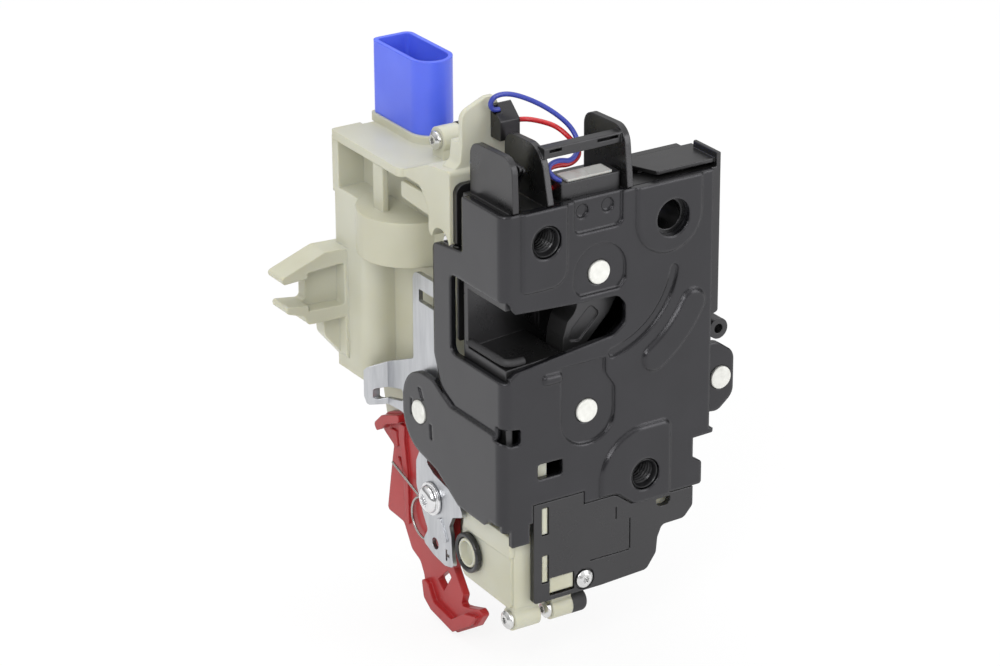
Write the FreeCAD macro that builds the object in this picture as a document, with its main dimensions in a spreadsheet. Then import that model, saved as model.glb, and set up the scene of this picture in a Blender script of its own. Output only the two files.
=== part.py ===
import FreeCAD, Part
import math
import os
import Sketcher
from FreeCAD import Placement, Rotation, Vector

# Door latch actuator: a rotary latch behind a stamped steel plate, with an electric
# locking unit in a moulded housing that reaches forward into the door.
# Origin: centre of the upper threaded fixing on the outer face of the latch plate.
# +X runs along the face, +Y into the door (depth), +Z up. Millimetres.

doc = FreeCAD.newDocument("DoorLatchActuator")
sheet = doc.addObject("Spreadsheet::Sheet", "Sizes")
size_names = []
pieces = []


class Size:
    """A dimension that knows its value and the formula that gives it in the sheet."""

    def __init__(self, value, formula):
        self.value = float(value)
        self.formula = formula

    def __float__(self):
        return self.value

    def __add__(self, other):
        return Size(self.value + float(other), f"({self.formula} + {formula_of(other)})")

    def __radd__(self, other):
        return Size(float(other) + self.value, f"({formula_of(other)} + {self.formula})")

    def __sub__(self, other):
        return Size(self.value - float(other), f"({self.formula} - {formula_of(other)})")

    def __rsub__(self, other):
        return Size(float(other) - self.value, f"({formula_of(other)} - {self.formula})")

    def __mul__(self, other):
        return Size(self.value * float(other), f"({self.formula} * {formula_of(other)})")

    __rmul__ = __mul__

    def __truediv__(self, other):
        return Size(self.value / float(other), f"({self.formula} / {formula_of(other)})")

    def __neg__(self):
        return Size(-self.value, f"(0 - {self.formula})")


def formula_of(value):
    """Formula text of a Size or of a plain number."""
    if isinstance(value, Size):
        return value.formula
    return f"({float(value):.6f})"


def size(name, value):
    """Write one driving dimension into the sheet under its alias."""
    row = len(size_names) + 1
    size_names.append(name)
    sheet.set(f"A{row}", name)
    sheet.set(f"B{row}", str(value))
    sheet.setAlias(f"B{row}", name)
    return Size(value, f"Sizes.{name}")


# Stamped latch plate
plate_thickness = size("plate_thickness", 2.0)
plate_top = size("plate_top", 10.0)
plate_right = size("plate_right", 58.8)
plate_bottom = size("plate_bottom", -91.0)
flange_face = size("flange_face", -14.5)
flange_step = size("flange_step", 1.0)
flange_reach = size("flange_reach", 38.3)
bend_radius = size("bend_radius", 3.0)
emboss_depth = size("emboss_depth", 1.0)
emboss_slope = size("emboss_slope", 0.7)
ear_radius = size("ear_radius", 12.0)

# Striker mouth
mouth_roof = size("mouth_roof", -20.8)
mouth_floor = size("mouth_floor", -36.0)
mouth_end = size("mouth_end", 28.2)
mouth_reach = size("mouth_reach", 29.0)

# Fixings
thread_radius = size("thread_radius", 3.4)
fixing_hole_radius = size("fixing_hole_radius", 5.1)
nut_radius = size("nut_radius", 5.6)
nut_length = size("nut_length", 10.0)
lower_fixing_x = size("lower_fixing_x", 35.1)
lower_fixing_z = size("lower_fixing_z", -82.2)
third_fixing_x = size("third_fixing_x", 44.0)
third_fixing_z = size("third_fixing_z", -1.6)
third_hole_radius = size("third_hole_radius", 5.8)
third_bore_radius = size("third_bore_radius", 4.6)

# Catch and pawl
catch_x = size("catch_x", 19.1)
catch_z = size("catch_z", -13.9)
pawl_x = size("pawl_x", 15.0)
pawl_z = size("pawl_z", -57.0)
pivot_radius = size("pivot_radius", 4.4)
rivet_radius = size("rivet_radius", 3.65)
running_gap = size("running_gap", 0.06)
catch_front = size("catch_front", 5.6)
catch_thickness = size("catch_thickness", 9.0)
catch_open_angle = size("catch_open_angle", 46.0)
catch_slot = size("catch_slot", 12.0)
pawl_thickness = size("pawl_thickness", 7.0)
pawl_rest_angle = size("pawl_rest_angle", 49.7)
spring_wire = size("spring_wire", 1.4)

# Plastic latch housing
latch_depth = size("latch_depth", 24.7)
housing_wall = size("housing_wall", 2.2)
housing_top = size("housing_top", 9.7)
housing_right = size("housing_right", 62.6)
housing_left = size("housing_left", -12.3)
back_plate_thickness = size("back_plate_thickness", 2.0)
gasket_thickness = size("gasket_thickness", 1.9)
fin_thickness = size("fin_thickness", 2.0)
fin_top = size("fin_top", 27.2)
fit_gap = size("fit_gap", 0.3)

# Actuator housing of the locking unit
unit_back = size("unit_back", 96.0)
unit_top = size("unit_top", 8.0)
unit_bottom = size("unit_bottom", -117.0)
unit_face = size("unit_face", -6.0)
unit_split = size("unit_split", 6.0)
unit_outboard = size("unit_outboard", 16.0)
unit_wall = size("unit_wall", 2.0)
frame_screw_y = size("frame_screw_y", 34.0)
frame_screw_z = size("frame_screw_z", -9.2)
frame_screw_seat = size("frame_screw_seat", -9.8)
column_face = size("column_face", -15.0)
column_front = size("column_front", 75.0)
column_bottom = size("column_bottom", -69.5)
drum_x = size("drum_x", -5.0)
drum_y = size("drum_y", 67.5)
drum_radius = size("drum_radius", 16.2)
drum_top = size("drum_top", -9.5)
drum_bottom = size("drum_bottom", -23.7)
fork_back = size("fork_back", 97.0)
fork_depth = size("fork_depth", 9.0)
socket_left = size("socket_left", 0.0)
socket_width = size("socket_width", 13.8)
socket_length = size("socket_length", 30.0)
socket_back = size("socket_back", 97.3)
socket_wall = size("socket_wall", 1.4)
socket_base = size("socket_base", 10.5)
socket_top = size("socket_top", 33.6)

# Levers on the inboard side
ear_y = size("ear_y", 45.6)
ear_z = size("ear_z", -67.0)
lever_screw_y = size("lever_screw_y", 42.5)
lever_screw_z = size("lever_screw_z", -95.2)
lever_sheet = size("lever_sheet", 1.5)
release_face = size("release_face", -12.0)
lock_lever_face = size("lock_lever_face", -13.2)
red_lever_face = size("red_lever_face", -9.5)
red_lever_thickness = size("red_lever_thickness", 2.4)
follower_y = size("follower_y", 24.5)
follower_z = size("follower_z", -106.4)
follower_radius = size("follower_radius", 4.6)

# Gear train of the locking motor
worm_x = size("worm_x", 5.0)
worm_y = size("worm_y", 74.0)
worm_radius = size("worm_radius", 3.6)
worm_pitch = size("worm_pitch", 3.0)
wheel_teeth = size("wheel_teeth", 29)
wheel_z = size("wheel_z", -48.0)
wheel_width = size("wheel_width", 5.0)

# Lower cover
cover_left = size("cover_left", -4.0)
cover_bottom = size("cover_bottom", -115.6)
cover_thickness = size("cover_thickness", 2.0)
cover_screw_x = size("cover_screw_x", 14.0)
cover_screw_z = size("cover_screw_z", -111.8)
lug_y = size("lug_y", 5.0)
lug_drop = size("lug_drop", 5.4)
lug_radius = size("lug_radius", 3.6)
lug_z = cover_bottom - lug_drop

doc.recompute()

# Stack of levels through the latch, from the face into the door
back_plate_front = latch_depth
back_plate_back = latch_depth + back_plate_thickness
gasket_back = back_plate_back + gasket_thickness
cavity_back = latch_depth - housing_wall

VIEW_PLANES = {"face": "XZ_Plane", "side": "YZ_Plane", "top": "XY_Plane"}


def bind(thing, path, value):
    """Tie one property of an object to the formula of a size."""
    thing.setExpression(path, formula_of(value))


def new_body(label, at=None, turn=None):
    """One piece: a body with its own name, place and, where it is turned, an angle."""
    body = doc.addObject("PartDesign::Body", label)
    body.Label = label
    if turn is not None:
        axis, angle = turn
        body.Placement = Placement(Vector(0, 0, 0), Rotation(Vector(*axis), float(angle)))
        bind(body, "Placement.Rotation.Angle", angle)
    if at is not None:
        for letter, value in zip("xyz", at):
            bind(body, f"Placement.Base.{letter}", value)
    pieces.append(body)
    return body


def sketch_on(body, view, level):
    """Sketch on one of the body's own planes, moved along the plane's normal to a level.

    The face view has axes (x, z), the side view (y, z) and the top view (x, y)."""
    plane = next(f for f in body.Origin.OriginFeatures if f.Role == VIEW_PLANES[view])
    sketch = body.newObject("Sketcher::SketchObject", f"{body.Label}_outline")
    sketch.AttachmentSupport = [(plane, "")]
    sketch.MapMode = "FlatFace"
    shift = -level if view == "face" else level
    bind(sketch, "AttachmentOffset.Base.z", shift)
    return sketch


def corner_points(before, here, after, radius):
    """Where a rounded corner starts and ends, and its arc's centre."""
    towards_before = (before - here).normalize()
    towards_after = (after - here).normalize()
    half = towards_before.getAngle(towards_after) / 2
    run = radius / math.tan(half)
    middle = (towards_before + towards_after).normalize()
    centre = here + middle * (radius / math.sin(half))
    return here + towards_before * run, here + towards_after * run, centre


def add_outline(sketch, corners):
    """Closed outline through corners (u, v) or (u, v, radius); the radius rounds a corner."""
    count = len(corners)
    places = [Vector(float(c[0]), float(c[1]), 0) for c in corners]
    radii = [float(c[2]) if len(c) > 2 else 0.0 for c in corners]
    ends = []
    for i in range(count):
        before = places[i - 1]
        after = places[(i + 1) % count]
        if radii[i] > 0:
            ends.append(corner_points(before, places[i], after, radii[i]))
        else:
            ends.append((places[i], places[i], None))
    first = sketch.GeometryCount
    geometry = [Part.LineSegment(ends[i][1], ends[(i + 1) % count][0]) for i in range(count)]
    rounded = [i for i in range(count) if radii[i] > 0]
    first_arc = first + count
    first_mark = first_arc + len(rounded)
    rules = []
    ties = []

    def tie(kind, item, value):
        if isinstance(value, Size):
            ties.append((len(rules), value.formula))
        rules.append(Sketcher.Constraint(kind, -1, 1, item, 1, float(value)))

    for i in range(count):
        line = first + i
        line_before = first + (i - 1) % count
        if radii[i] == 0:
            rules.append(Sketcher.Constraint("Coincident", line_before, 2, line, 1))
            tie("DistanceX", line, corners[i][0])
            tie("DistanceY", line, corners[i][1])
            continue
        start, finish, centre = ends[i]
        turn = (places[i] - places[i - 1]).cross(places[(i + 1) % count] - places[i]).z
        angles = [math.atan2(p.y - centre.y, p.x - centre.x) for p in (start, finish)]
        circle = Part.Circle(centre, Vector(0, 0, 1), radii[i])
        arc_ends = (1, 2)
        if turn < 0:
            angles.reverse()
            arc_ends = (2, 1)
        arc = first_arc + rounded.index(i)
        mark = first_mark + rounded.index(i)
        geometry.append(Part.ArcOfCircle(circle, angles[0], angles[1]))
        tie("DistanceX", mark, corners[i][0])
        tie("DistanceY", mark, corners[i][1])
        rules.append(Sketcher.Constraint("PointOnObject", mark, 1, line_before))
        rules.append(Sketcher.Constraint("PointOnObject", mark, 1, line))
        rules.append(Sketcher.Constraint("Tangent", line_before, 2, arc, arc_ends[0]))
        rules.append(Sketcher.Constraint("Tangent", line, 1, arc, arc_ends[1]))
        if isinstance(corners[i][2], Size):
            ties.append((len(rules), corners[i][2].formula))
        rules.append(Sketcher.Constraint("Radius", arc, radii[i]))
    sketch.addGeometry(geometry, False)
    if rounded:
        sketch.addGeometry([Part.Point(places[i]) for i in rounded], True)
    base = sketch.ConstraintCount
    sketch.addConstraint(rules)
    for number, formula in ties:
        sketch.setExpression(f"Constraints[{base + number}]", formula)


class Ring:
    """A circle in a sketch: centre (u, v) and radius."""

    def __init__(self, u, v, radius):
        self.u = u
        self.v = v
        self.radius = radius


def add_ring(sketch, ring):
    centre = Vector(float(ring.u), float(ring.v), 0)
    item = sketch.addGeometry(Part.Circle(centre, Vector(0, 0, 1), float(ring.radius)), False)
    base = sketch.ConstraintCount
    sketch.addConstraint([
        Sketcher.Constraint("DistanceX", -1, 1, item, 3, float(ring.u)),
        Sketcher.Constraint("DistanceY", -1, 1, item, 3, float(ring.v)),
        Sketcher.Constraint("Radius", item, float(ring.radius)),
    ])
    for number, value in enumerate((ring.u, ring.v, ring.radius)):
        if isinstance(value, Size):
            sketch.setExpression(f"Constraints[{base + number}]", value.formula)


def add_loops(sketch, loops):
    for loop in loops:
        if isinstance(loop, Ring):
            add_ring(sketch, loop)
        else:
            add_outline(sketch, loop)


def slab(body, view, loops, start, end, taper=None):
    """Add material over the outline from one level to a higher one."""
    sketch = sketch_on(body, view, start)
    add_loops(sketch, loops)
    pad = body.newObject("PartDesign::Pad", f"{body.Label}_pad")
    pad.Profile = sketch
    pad.Reversed = view == "face"
    bind(pad, "Length", end - start)
    if taper is not None:
        pad.TaperAngle = taper
    sketch.Visibility = False
    return pad


def cut(body, view, loops, start, end, taper=None):
    """Take material away under the outline from one level to a higher one."""
    sketch = sketch_on(body, view, start)
    add_loops(sketch, loops)
    pocket = body.newObject("PartDesign::Pocket", f"{body.Label}_cut")
    pocket.Profile = sketch
    pocket.Reversed = view != "face"
    bind(pocket, "Length", end - start)
    if taper is not None:
        pocket.TaperAngle = taper
    sketch.Visibility = False
    return pocket


def turned(label, axis, at, profile):
    """Turned piece: profile corners are (radius, distance along the axis)."""
    body = new_body(label, at=at)
    if axis == "X":
        sketch = sketch_on(body, "top", Size(0, "0"))
        add_outline(sketch, [(c[1], c[0], *c[2:]) for c in profile])
        reference = (sketch, ["H_Axis"])
    elif axis == "Y":
        sketch = sketch_on(body, "top", Size(0, "0"))
        add_outline(sketch, profile)
        reference = (sketch, ["V_Axis"])
    else:
        sketch = sketch_on(body, "face", Size(0, "0"))
        add_outline(sketch, profile)
        reference = (sketch, ["V_Axis"])
    turning = body.newObject("PartDesign::Revolution", f"{label}_turning")
    turning.Profile = sketch
    turning.ReferenceAxis = reference
    turning.Angle = 360
    sketch.Visibility = False
    return body


def round_edges(body, radius, chosen, kind="Fillet"):
    """Round or bevel the edges of the body so far that the test picks."""
    doc.recompute()
    base = body.Tip
    names = [f"Edge{i + 1}" for i, edge in enumerate(base.Shape.Edges) if chosen(edge)]
    if not names:
        raise ValueError(f"{body.Label}: no edge picked")
    feature = body.newObject(f"PartDesign::{kind}", f"{body.Label}_{kind.lower()}")
    feature.Base = (base, names)
    bind(feature, "Radius" if kind == "Fillet" else "Size", radius)
    return feature


def group(label, bodies):
    """Several like solids that share one node."""
    compound = doc.addObject("Part::Compound", label)
    compound.Label = label
    compound.Links = bodies
    for body in bodies:
        pieces.remove(body)
    pieces.append(compound)
    return compound


def shape_piece(label, shape, at=(0, 0, 0)):
    """A piece whose form is set directly, such as bent wire."""
    feature = doc.addObject("Part::Feature", label)
    feature.Label = label
    feature.Shape = shape
    place = Placement(Vector(*[float(v) for v in at]), Rotation())
    feature.Placement = place * shape.Placement
    pieces.append(feature)
    return feature


def box_outline(left, bottom, right, top, radius=None):
    corners = [(left, bottom), (right, bottom), (right, top), (left, top)]
    if radius is None:
        return corners
    return [(*corner, radius) for corner in corners]


def arc_slot(centre_x, centre_z, mean_radius, half_width, first_angle, last_angle):
    """Outline of a slot bent round a centre, as four large arcs; angles in degrees."""
    middle = math.radians((first_angle + last_angle) / 2)
    half = math.radians(abs(last_angle - first_angle) / 2)
    end_run = half_width * 0.99
    corners = []

    def corner(reach, angle, radius, along=0.0):
        corners.append((centre_x + reach * math.cos(angle) - along * math.sin(angle),
                        centre_z + reach * math.sin(angle) + along * math.cos(angle), radius))

    first, last = math.radians(first_angle), math.radians(last_angle)
    outer, inner = mean_radius + half_width, mean_radius - half_width
    corner(outer, first, end_run, half_width)
    corner(outer / math.cos(half), middle, outer)
    corner(outer, last, end_run, -half_width)
    corner(inner, last, end_run, -half_width)
    corner(inner / math.cos(half), middle, inner)
    corner(inner, first, end_run, half_width)
    return corners


def emboss_out(body, outline):
    """Raised panel on the face with bevelled sides."""
    slab(body, "face", [outline], -emboss_depth, Size(0, "0"))
    across = [float(corner[0]) for corner in outline]
    upward = [float(corner[1]) for corner in outline]
    level = -float(emboss_depth)
    highest = float(plate_top) - 0.05
    lowest = float(plate_bottom) + 0.05

    def on_rim(edge):
        box = edge.BoundBox
        return abs(box.YMin - level) < 0.01 and abs(box.YMax - level) < 0.01 \
            and box.XMin > min(across) - 0.1 and box.XMax < max(across) + 0.1 \
            and box.ZMin > min(upward) - 0.1 and box.ZMax < max(upward) + 0.1 \
            and box.ZMin < highest and box.ZMax > lowest

    round_edges(body, emboss_slope, on_rim, kind="Chamfer")


def build_latch_plate():
    """Stamped steel face with its bent side flange, embossed round every fixing."""
    plate = new_body("latch_plate")
    bottom_left = plate_bottom - 3.8
    slab(plate, "face", [[
        (flange_face, plate_top), (plate_right, plate_top), (plate_right, -73.2),
        (plate_right + 1.4, -73.6), (plate_right + 1.4, -75.0, 0.6), (53.0, -75.2),
        (53.0, -81.5), (56.2, -83.6, 1.5), (56.2, plate_bottom, 1.0), (31.0, plate_bottom),
        (25.4, -86.7, 4.0), (14.0, -86.7), (14.0, -82.7), (cover_left - fit_gap, -82.7),
        (cover_left - fit_gap, -88.5),
        (-5.5, -88.5), (-5.5, bottom_left), (-11.5, bottom_left), (-11.5, -89.5),
        (flange_face, -89.5),
    ]], Size(0, "0"), plate_thickness)
    flange_inner = flange_face + plate_thickness
    slab(plate, "side", [[
        (0, plate_top), (22.0, plate_top, 1.0), (22.0, -7.5, 1.0), (flange_reach, -9.5, 2.5),
        (flange_reach, -45.0, 3.0), (34.5, -54.5, 3.0), (28.5, -60.5), (0, -60.5),
    ]], flange_face, flange_inner)
    step_face = flange_face - flange_step
    ear_edge = ear_y + 9.6
    slab(plate, "side", [[
        (0, -58.8), (28.0, -58.8, 1.0), (33.0, -56.5, 4.0), (38.0, ear_z + 13.3, 4.0),
        (ear_edge, ear_z + 13.3, ear_radius), (ear_edge, ear_z - 11.5, ear_radius),
        (36.0, -82.5, 4.0), (24.0, -89.5, 3.0), (9.0, -89.9, 1.5), (6.8, -87.4, 1.0),
        (0, -87.4),
    ]], step_face, step_face + plate_thickness)
    # raised panels round the three fixings, and the small ribs
    emboss_out(plate, [
        (-8.3, plate_top), (-8.3, -15.0, 2.0), (7.6, -15.0, 6.0), (7.6, plate_top),
    ])
    emboss_out(plate, [
        (31.2, plate_top), (31.2, -12.6, 11.6), (54.7, -12.6, 11.6), (54.7, plate_top),
    ])
    emboss_out(plate, [
        (lower_fixing_x - 16.0, -86.2), (lower_fixing_x - 16.0, lower_fixing_z + 16.0, 15.9),
        (44.6, lower_fixing_z + 16.0, 3.0), (44.6, plate_bottom),
        (31.2, plate_bottom), (25.4, -86.5, 4.0),
    ])
    emboss_out(plate, arc_slot(catch_x, catch_z, 36.7, 4.5, -27.0, -58.0))
    emboss_out(plate, box_outline(-1.0, -45.2, 5.8, -42.0, 1.2))
    # sunk panels, each with its bulge behind the sheet
    sunk = [
        [(10.0, plate_top), (10.0, -0.4, 2.5), (27.0, -0.4, 2.5), (27.0, plate_top)],
        [(catch_x - 6.6, catch_z - 6.2), (catch_x - 9.2, catch_z - 3.6, 4.0),
         (catch_x - 9.2, catch_z + 9.2, 9.1), (catch_x + 9.2, catch_z + 9.2, 9.1),
         (catch_x + 9.2, catch_z - 3.6, 4.0), (catch_x + 6.6, catch_z - 6.2)],
        [(5.6, -41.0), (5.6, pawl_z - 10.4, 9.0), (pawl_x + 9.7, pawl_z - 10.4, 9.0),
         (pawl_x + 9.7, -51.0, 4.0), (21.3, -46.0, 4.0), (21.3, -41.0)],
    ]
    for outline in sunk:
        slab(plate, "face", [outline], plate_thickness, plate_thickness + emboss_depth)
        cut(plate, "face", [outline], Size(0, "0"), emboss_depth)
    dimples = [Ring(13.4, 6.2, 2.1), Ring(22.2, 6.4, 2.1)]
    slab(plate, "face", dimples, emboss_depth + 0.5, plate_thickness + emboss_depth + 0.9)
    cut(plate, "face", dimples, emboss_depth, emboss_depth + 0.9)
    # curved groove that stiffens the sheet round the swing of the catch
    groove = arc_slot(catch_x, catch_z, 26.7, 1.5, -10.0, -80.0)
    slab(plate, "face", [groove], plate_thickness, plate_thickness + 0.7)
    cut(plate, "face", [groove], Size(0, "0"), Size(0.8, "0.8"))
    # striker mouth through face and flange
    cut(plate, "face", [[
        (flange_face - 2, mouth_roof + 3.8), (-12.0, mouth_roof + 3.8, 0.6),
        (-10.4, mouth_roof + 0.4, 1.2), (12.0, mouth_roof - 1.0), (25.5, mouth_roof - 1.6, 3.0),
        (mouth_end, mouth_roof - 4.8, 3.0), (mouth_end, -31.5, 3.0), (24.2, -34.6, 3.0),
        (-9.4, mouth_floor - 2.9, 1.0), (-12.0, mouth_floor - 4.6, 0.6),
        (flange_face - 2, mouth_floor - 5.7),
    ]], Size(-1.5, "(0 - 1.5)"), plate_thickness + emboss_depth + 1)
    cut(plate, "side", [[
        (-1, mouth_roof + 4.4), (mouth_reach, mouth_roof + 4.4, 2.5),
        (mouth_reach, mouth_floor - 5.7, 2.5), (-1, mouth_floor - 5.7),
    ]], flange_face - 1, flange_inner + 0.5)
    # relief notch through the bend, between the two depths of flange
    cut(plate, "face", [[
        (flange_face - 3, -55.8), (-8.4, -57.0, 1.0), (-8.4, -62.0, 1.0), (-11.5, -62.0, 0.8),
        (flange_face - 3, -59.2),
    ]], Size(-0.5, "(0 - 0.5)"), plate_thickness + 2.2)
    # window over the lock slider
    cut(plate, "face", [box_outline(-2.6, -75.0, 6.2, -70.0, 0.8)],
        Size(-0.5, "(0 - 0.5)"), plate_thickness + 1)
    # holes for the fixings, rivets and ear
    cut(plate, "face", [
        Ring(0, 0, fixing_hole_radius),
        Ring(lower_fixing_x, lower_fixing_z, fixing_hole_radius),
        Ring(third_fixing_x, third_fixing_z, third_hole_radius),
        Ring(catch_x, catch_z, rivet_radius + running_gap),
        Ring(pawl_x, pawl_z, rivet_radius + running_gap),
    ], Size(-2, "(0 - 2)"), plate_thickness + 3)
    cut(plate, "side", [Ring(ear_y, ear_z, rivet_radius + running_gap)],
        step_face - 0.5, step_face + plate_thickness + 0.5)
    # staking marks in the ear round the rivet
    cut(plate, "side", [
        [(ear_y + 0.8, ear_z + 8.0), (ear_y - 1.0, ear_z + 8.0), (ear_y - 2.6, ear_z + 4.6),
         (ear_y - 1.2, ear_z + 4.2)],
        [(ear_y - 5.6, ear_z - 1.8), (ear_y - 7.0, ear_z - 1.8), (ear_y - 7.4, ear_z - 6.6),
         (ear_y - 6.0, ear_z - 6.6)],
        box_outline(ear_y + 4.2, ear_z - 2.6, ear_y + 5.2, ear_z + 2.8),
    ], step_face - 0.5, step_face + 0.8)
    # the bend itself
    for reach in (flange_face, step_face):
        round_edges(plate, bend_radius, lambda edge: on_bend(edge, float(reach)))
    return plate


def on_bend(edge, x_level):
    """Upright edge at the front corner of the flange."""
    box = edge.BoundBox
    return box.ZLength > 4 and box.XLength < 0.01 and box.YLength < 0.01 \
        and abs(box.XMin - x_level) < 0.01 and abs(box.YMin) < 0.01


def fin(body, left, top, sweep, rounding):
    """Upright rib over the latch; its front edge leans back by the sweep."""
    slab(body, "side", [[
        (0.4, housing_top + 0.6), (sweep, top, rounding), (23.4, top - 0.8, 4.5),
        (23.4, housing_top - 1.8), (plate_thickness, housing_top - 1.8),
        (plate_thickness, housing_top + 0.6),
    ]], left, left + fin_thickness)


def build_latch_housing():
    """Plastic tub between the steel plates, with the mouth lining and the ribs on top."""
    tub = new_body("latch_housing")
    slab(tub, "face", [[
        (housing_left, housing_top), (housing_left, -79.0, 1.0), (21.0, -79.0),
        (21.0, -90.4, 1.0), (52.4, -90.4, 1.0), (52.4, -74.0), (58.0, -74.0, 1.0),
        (58.0, -38.0), (housing_right, -36.5, 1.0), (housing_right, housing_top),
    ]], plate_thickness, latch_depth)
    inner_left = housing_left + housing_wall
    cut(tub, "face", [[
        (inner_left, housing_top - housing_wall), (inner_left, -76.8, 2.0), (23.2, -76.8),
        (23.2, -88.2, 2.0), (50.2, -88.2, 2.0), (50.2, -71.8), (55.8, -71.8, 2.0),
        (55.8, housing_top - housing_wall, 3.0),
    ]], plate_thickness, cavity_back)
    # open side of the mouth
    cut(tub, "side", [box_outline(0, mouth_floor - 2.4, cavity_back, mouth_roof + 1.2)],
        housing_left - 1, inner_left + 0.4)
    # guide walls above and below the striker, and the wall behind it
    slab(tub, "face", [[
        (housing_left, mouth_roof + 1.2), (-4.2, mouth_roof + 1.2), (-4.2, mouth_roof + 3.2),
        (housing_left, mouth_roof + 3.2),
    ]], plate_thickness, cavity_back + 0.5)
    slab(tub, "face", [[
        (housing_left, mouth_floor - 2.4), (7.2, mouth_floor - 1.1),
        (7.2, mouth_floor - 3.3), (housing_left, mouth_floor - 4.8),
    ]], plate_thickness, cavity_back + 0.5)
    slab(tub, "face", [box_outline(11.0, -38.0, 27.0, -22.4, 2.0)],
         cavity_back - 2.0, cavity_back + 0.5)
    # sleeve for the third fixing
    slab(tub, "face", [Ring(third_fixing_x, third_fixing_z, third_bore_radius + 3.2)],
         plate_thickness, cavity_back + 0.5)
    # thin ledge with a slanted left end, its web and the post at the upper right rim
    slab(tub, "top", [[
        (40.8, 3.0, 0.8), (housing_right, 3.0), (housing_right, 17.0), (34.6, 17.0, 1.0),
    ]], Size(10.9, "10.9"), Size(12.1, "12.1"))
    slab(tub, "top", [box_outline(38.6, 10.0, housing_right, 16.0)], housing_top - 1,
         Size(11.2, "11.2"))
    slab(tub, "face", [box_outline(housing_right - 1.4, housing_top - 1, housing_right, 14.2, 0.5)],
         Size(2.0, "2.0"), Size(14.0, "14.0"))
    # ribs that carry the bridge over the position switch
    fin(tub, Size(-10.6, "(0 - 10.6)"), fin_top - 0.6, 1.2, 4.5)
    fin(tub, Size(1.2, "1.2"), fin_top, 4.6, 8.0)
    fin(tub, Size(28.6, "28.6"), fin_top + 1.2, 2.6, 5.5)
    slab(tub, "side", [box_outline(3.6, 23.3, 7.2, 26.6, 0.4)], Size(2.0, "2.0"), Size(29.6, "29.6"))
    cut(tub, "face", [box_outline(3.8, 25.0, 8.0, 25.9), box_outline(20.2, 25.0, 27.4, 25.9)],
        Size(3.4, "3.4"), Size(5.4, "5.4"))
    # two slim webs that guide the spring legs between the left ribs
    slab(tub, "side", [[
        (5.0, 21.6, 1.0), (18.0, 22.4, 1.5), (18.0, housing_top - 1), (11.0, housing_top - 1),
        (9.6, 16.0, 3.0),
    ]], Size(-4.8, "(0 - 4.8)"), Size(-4.0, "(0 - 4.0)"))
    slab(tub, "side", [[
        (6.4, 20.4, 1.0), (16.0, 21.4, 1.5), (16.0, housing_top - 1), (12.0, housing_top - 1),
        (10.4, 15.0, 3.0),
    ]], Size(-2.8, "(0 - 2.8)"), Size(-2.0, "(0 - 2.0)"))
    # lug and eyelet on the right flank
    slab(tub, "face", [[
        (57.0, -54.5), (70.0, -54.5, 5.0), (76.0, -60.0, 5.0), (76.0, -71.0, 5.0),
        (70.0, -76.0, 5.0), (57.0, -73.5),
    ]], Size(16.0, "16.0"), Size(20.0, "20.0"))
    slab(tub, "face", [Ring(65.2, -44.0, 3.3)], Size(5.0, "5.0"), Size(13.0, "13.0"))
    slab(tub, "face", [box_outline(57.0, -45.5, 64.0, -42.5)], Size(6.5, "6.5"), Size(12.0, "12.0"))
    cut(tub, "face", [Ring(65.2, -44.0, 1.5)], Size(4.0, "4.0"), Size(14.0, "14.0"))
    # room in the top wall for the bulge of the sunk panel and its dimples
    cut(tub, "face", [box_outline(10.0 - fit_gap, 3.0, 27.0 + fit_gap, housing_top + 0.2)],
        plate_thickness - 0.5, plate_thickness + emboss_depth + 0.9 + fit_gap)
    # bores
    cut(tub, "face", [
        Ring(third_fixing_x, third_fixing_z, third_bore_radius),
        Ring(catch_x, catch_z, pivot_radius + running_gap),
        Ring(pawl_x, pawl_z, pivot_radius + running_gap),
        Ring(72.7, -65.1, rivet_radius + running_gap),
    ], Size(1.0, "1.0"), latch_depth + 1)
    return tub


def build_back_plate():
    """Steel plate behind the housing that takes the rear ends of the rivets."""
    plate = new_body("back_plate")
    slab(plate, "face", [
        [(-10.8, 8.4, 4.0), (-10.8, -70.0, 8.0), (20.0, -77.0, 4.0), (50.0, -77.0, 6.0),
         (57.0, -66.0, 4.0), (57.0, 8.4, 4.0)],
        Ring(third_fixing_x, third_fixing_z, third_bore_radius),
        Ring(catch_x, catch_z, rivet_radius + running_gap),
        Ring(pawl_x, pawl_z, rivet_radius + running_gap),
    ], back_plate_front, back_plate_back)
    return plate


def build_frame_gasket():
    """Soft black frame between the latch and the locking unit."""
    gasket = new_body("frame_gasket")
    slab(gasket, "face", [
        [(-13.3, 11.2, 3.0), (-13.3, -7.5, 1.0), (-9.4, -7.5, 1.0), (-9.4, -74.0, 3.0),
         (6.5, -74.0, 2.0), (6.5, 11.2, 2.0)],
        box_outline(-5.0, -70.0, 2.5, 6.5, 2.0),
    ], back_plate_back, gasket_back)
    return gasket


def pivot_rivet(label, x, z):
    """Shouldered rivet: thick between the plates, staked flush in the sunk panel."""
    shoulder = plate_thickness + emboss_depth
    return turned(label, "Y", (x, 0, z), [
        (0, emboss_depth - 0.7), (rivet_radius - 0.2, emboss_depth - 0.7),
        (rivet_radius, emboss_depth - 0.4), (rivet_radius, shoulder), (pivot_radius, shoulder),
        (pivot_radius, latch_depth), (rivet_radius, latch_depth),
        (rivet_radius, back_plate_back + 0.5), (0, back_plate_back + 0.5),
    ])


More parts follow.
